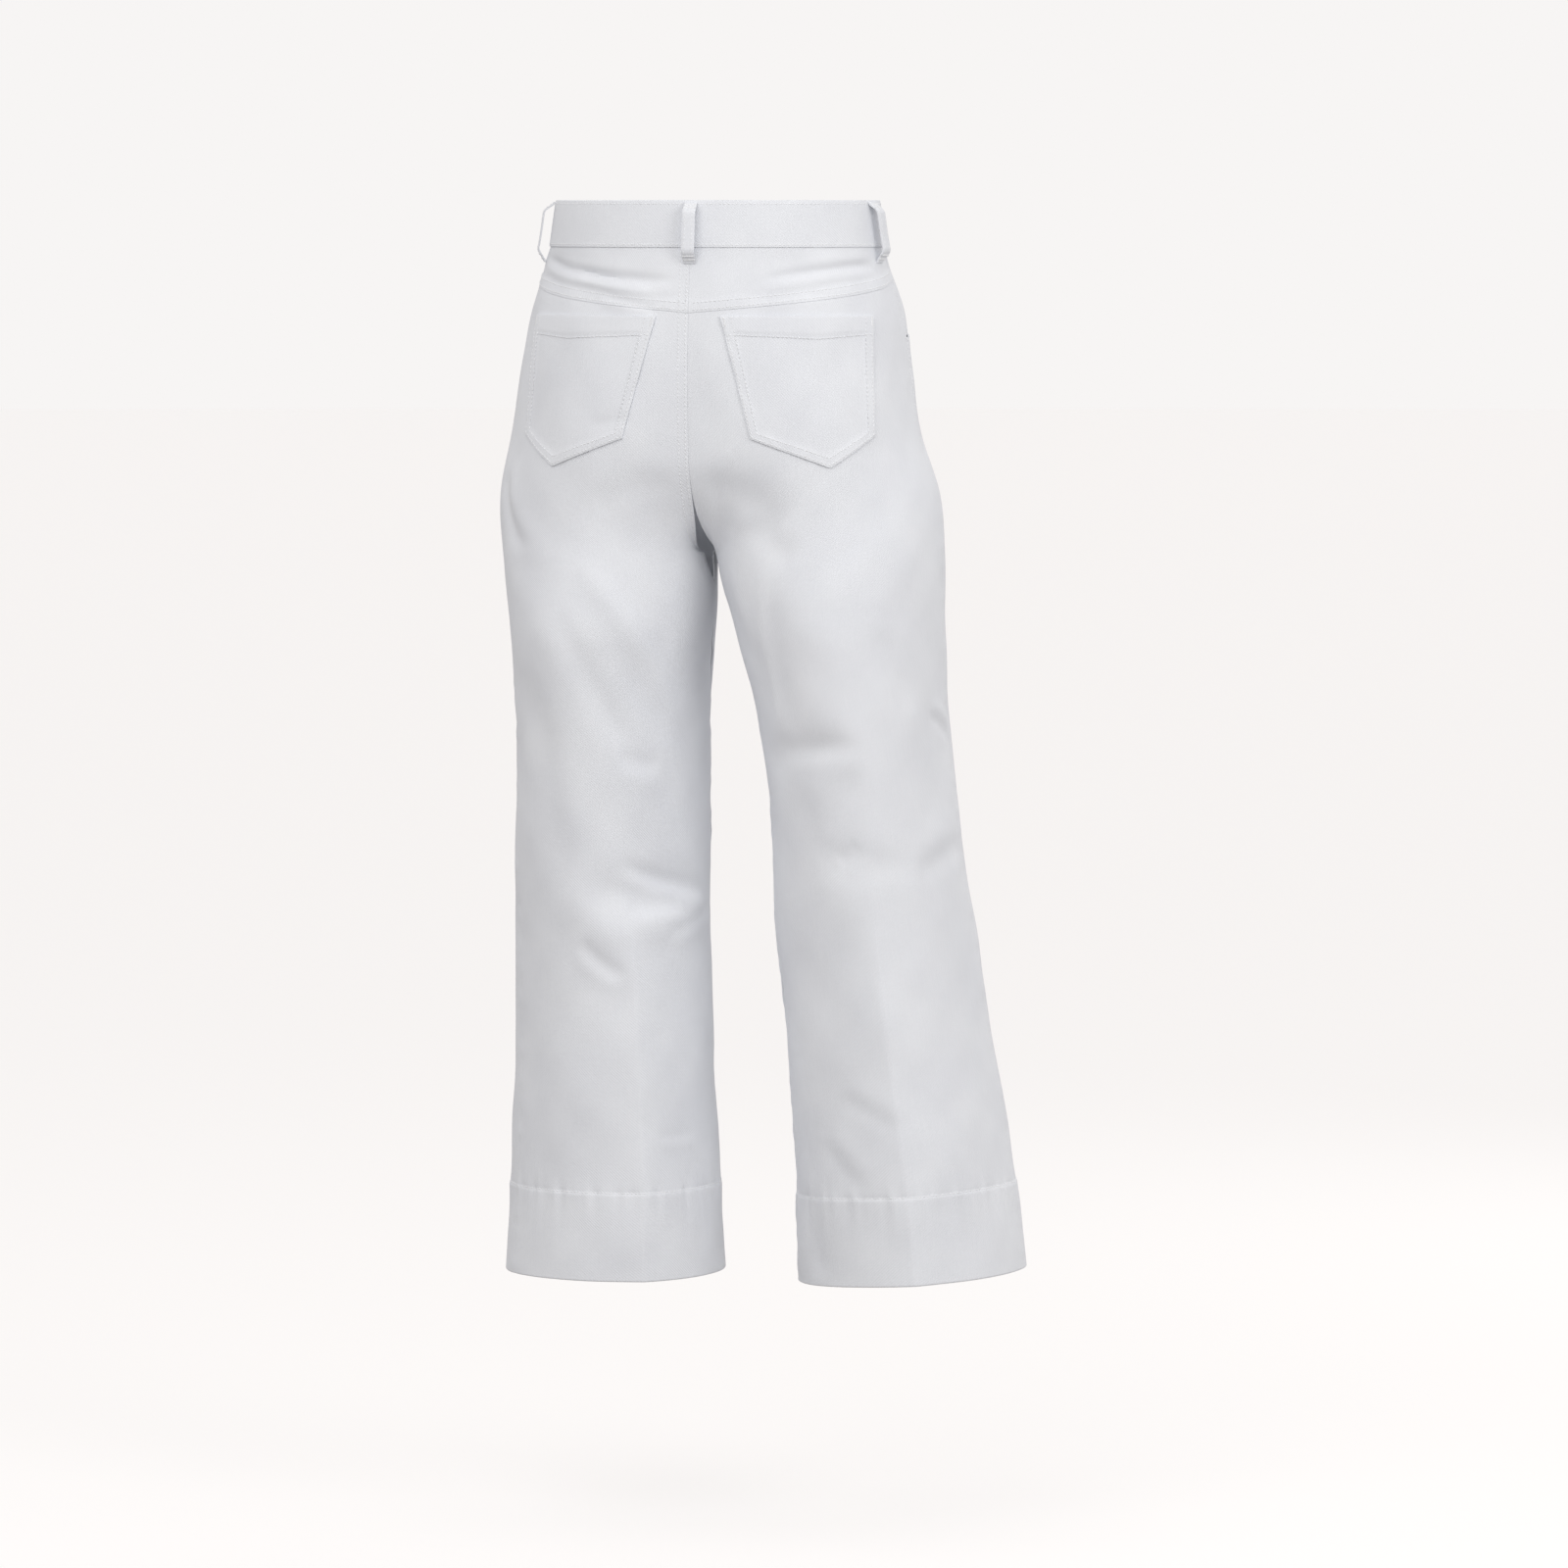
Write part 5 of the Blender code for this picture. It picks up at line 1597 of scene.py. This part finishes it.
class JeansButton(bpy.types.Operator):
    """Makes the waistband's button: a turned disc with a rolled rim and a plain domed middle."""
    bl_idname = "jeans.button"
    bl_label = "Button"

    def execute(self, context):
        seat, normal = surface(1, np.array(-180.0), np.array(0.0), BAND_THICK / 2.0 + SEAM_GAP)
        across = np.array([1.0, 0.0, 0.0])
        upward = np.cross(across, normal)
        profile = np.array(BUTTON_OUTLINE) * (BUTTON_RADIUS, BUTTON_HIGH)
        turn = np.linspace(0.0, 2.0 * np.pi, BUTTON_SIDES, endpoint=False)
        ring = np.cos(turn)[:, None] * across + np.sin(turn)[:, None] * upward
        points = seat + profile[1:-1, :1, None] * ring[None] + profile[1:-1, 1, None, None] * normal
        points = points.reshape(-1, 3)
        levels, count = len(profile) - 2, len(turn)
        index = np.arange(levels * count).reshape(levels, count)
        ahead = np.roll(index, -1, axis=1)
        faces = np.stack([index[:-1], index[1:], ahead[1:], ahead[:-1]], axis=-1).reshape(-1, 4)
        foot, crown = len(points), len(points) + 1
        points = np.concatenate([points, [seat, seat + profile[-1, 1] * normal]])
        faces = faces.tolist()
        faces += [[foot, a, b] for a, b in zip(index[0], ahead[0])]
        faces += [[crown, b, a] for a, b in zip(index[-1], ahead[-1])]
        button = add_piece("waist_button_metal", points.tolist(), faces, nickel())
        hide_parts("waist_button")
        return {"FINISHED"}


class JeansStage(bpy.types.Operator):
    """Makes the floor, the soft light and the camera."""
    bl_idname = "jeans.stage"
    bl_label = "Stage"

    def execute(self, context):
        scene = context.scene
        studio = scene.jeans_studio
        azimuth, elevation = studio.azimuth, studio.elevation
        back = np.array([np.sin(azimuth) * np.cos(elevation), -np.cos(azimuth) * np.cos(elevation),
                         np.sin(elevation)])
        right = np.array([np.cos(azimuth), np.sin(azimuth), 0.0])
        up = np.cross(back, right)
        target = LOOK_RIGHT * right + np.array([0.0, 0.0, LOOK_UP])

        camera = bpy.data.cameras.new("camera")
        camera.sensor_width = 36.0
        camera.lens = camera.sensor_width * studio.distance / studio.frame_size
        camera.clip_end = 100.0
        eye = bpy.data.objects.new("camera", camera)
        scene.collection.objects.link(eye)
        scene.camera = eye
        look_from(eye, target + studio.distance * back, target)

        studio_floor()

        for name, (to_right, to_camera, above), size, power in LAMPS:
            lamp = bpy.data.lights.new(name, "AREA")
            lamp.shape = "DISK"
            lamp.size = size
            lamp.energy = getattr(studio, power)
            holder = bpy.data.objects.new(name, lamp)
            scene.collection.objects.link(holder)
            look_from(holder, target + to_right * right + to_camera * back + above * up, target)

        world = bpy.data.worlds.new("white surround")
        world.use_nodes = True
        tree = world.node_tree
        sky = tree.nodes["Background"]
        sky.inputs["Color"].default_value = (*scene.jeans_colours.surround, 1.0)
        # The camera sees the surround brighter than the light that it throws on the jeans.
        path = node(tree, "ShaderNodeLightPath")
        seen = node(tree, "ShaderNodeMapRange", {"To Min": studio.sky, "To Max": 1.0},
                    {"Value": path.outputs["Is Camera Ray"]})
        tree.links.new(seen.outputs["Result"], sky.inputs["Strength"])
        scene.world = world
        scene.view_settings.view_transform = "Standard"
        return {"FINISHED"}


def studio_floor():
    """A flat disc of rings about its middle: each ring is joined to the next by four-sided faces."""
    turn = np.linspace(0.0, 2.0 * np.pi, FLOOR_SIDES, endpoint=False)
    ring = np.array(FLOOR_RINGS)[:, None]
    across, back = (ring * np.cos(turn)).ravel(), (ring * np.sin(turn)).ravel()
    points = np.stack([across, back, 0.0 * across + FLOOR_AT], axis=1)
    points = np.concatenate([[(0.0, 0.0, FLOOR_AT)], points])
    index = 1 + np.arange(ring.size * FLOOR_SIDES).reshape(ring.size, FLOOR_SIDES)
    ahead = np.roll(index, -1, axis=1)
    middle = np.stack([0 * index[0], index[0], ahead[0]], axis=-1)
    outer = np.stack([index[:-1], index[1:], ahead[1:], ahead[:-1]], axis=-1).reshape(-1, 4)
    mesh = bpy.data.meshes.new("floor")
    mesh.from_pydata(points.tolist(), [], middle.tolist() + outer.tolist())
    mesh.materials.append(floor_paint())
    ground = bpy.data.objects.new("floor", mesh)
    bpy.context.scene.collection.objects.link(ground)
    return ground


def look_from(item, place, target):
    """Puts a lamp or camera at a place, turned so that its own -Z looks at the target."""
    toward = np.asarray(target) - np.asarray(place)
    toward /= np.linalg.norm(toward)
    across = np.cross(toward, (0.0, 0.0, 1.0))
    across /= np.linalg.norm(across)
    above = np.cross(across, toward)
    matrix = np.eye(4)
    matrix[:3, 0], matrix[:3, 1], matrix[:3, 2], matrix[:3, 3] = across, above, -toward, place
    item.matrix_world = Matrix(matrix)


class JeansPanel(bpy.types.Panel):
    """Lists the pieces of the jeans and their settings."""
    bl_idname = "VIEW3D_PT_jeans"
    bl_label = "Wide leg jeans"
    bl_space_type = "VIEW_3D"
    bl_region_type = "UI"
    bl_category = "Jeans"

    def draw(self, context):
        """Draws a box of settings for each group, and a button for each operator."""
        for group in SETTINGS:
            settings = getattr(context.scene, group)
            box = self.layout.box()
            for name in settings.bl_rna.properties.keys()[2:]:
                box.prop(settings, name)
        for operator in OPERATORS:
            self.layout.operator(operator.bl_idname)


SETTINGS = {
    "jeans_cloth": JeansCloth,
    "jeans_sewing": JeansSewing,
    "jeans_colours": JeansColours,
    "jeans_studio": JeansStudio,
}
OPERATORS = (
    JeansStage, JeansLegPanels, JeansYokes, JeansPockets, JeansWaistband, JeansBeltLoops,
    JeansFlyShield, JeansButton,
)


def register():
    """Registers the settings, operators and panel."""
    for group in SETTINGS.values():
        bpy.utils.register_class(group)
    for group, settings in SETTINGS.items():
        setattr(bpy.types.Scene, group, bpy.props.PointerProperty(type=settings))
    for item in (*OPERATORS, JeansPanel):
        bpy.utils.register_class(item)


def unregister():
    """Takes back what register did, in the reverse order."""
    for item in (JeansPanel, *reversed(OPERATORS)):
        bpy.utils.unregister_class(item)
    for group in SETTINGS:
        delattr(bpy.types.Scene, group)
    for group in reversed(SETTINGS.values()):
        bpy.utils.unregister_class(group)


def main():
    """Makes the stage and every piece."""
    register()
    bpy.ops.jeans.stage()
    bpy.ops.jeans.leg_panels()
    bpy.ops.jeans.yokes()
    bpy.ops.jeans.pockets()
    bpy.ops.jeans.waistband()
    bpy.ops.jeans.belt_loops()
    bpy.ops.jeans.fly_shield()
    bpy.ops.jeans.button()


if __name__ == "__main__":
    main()
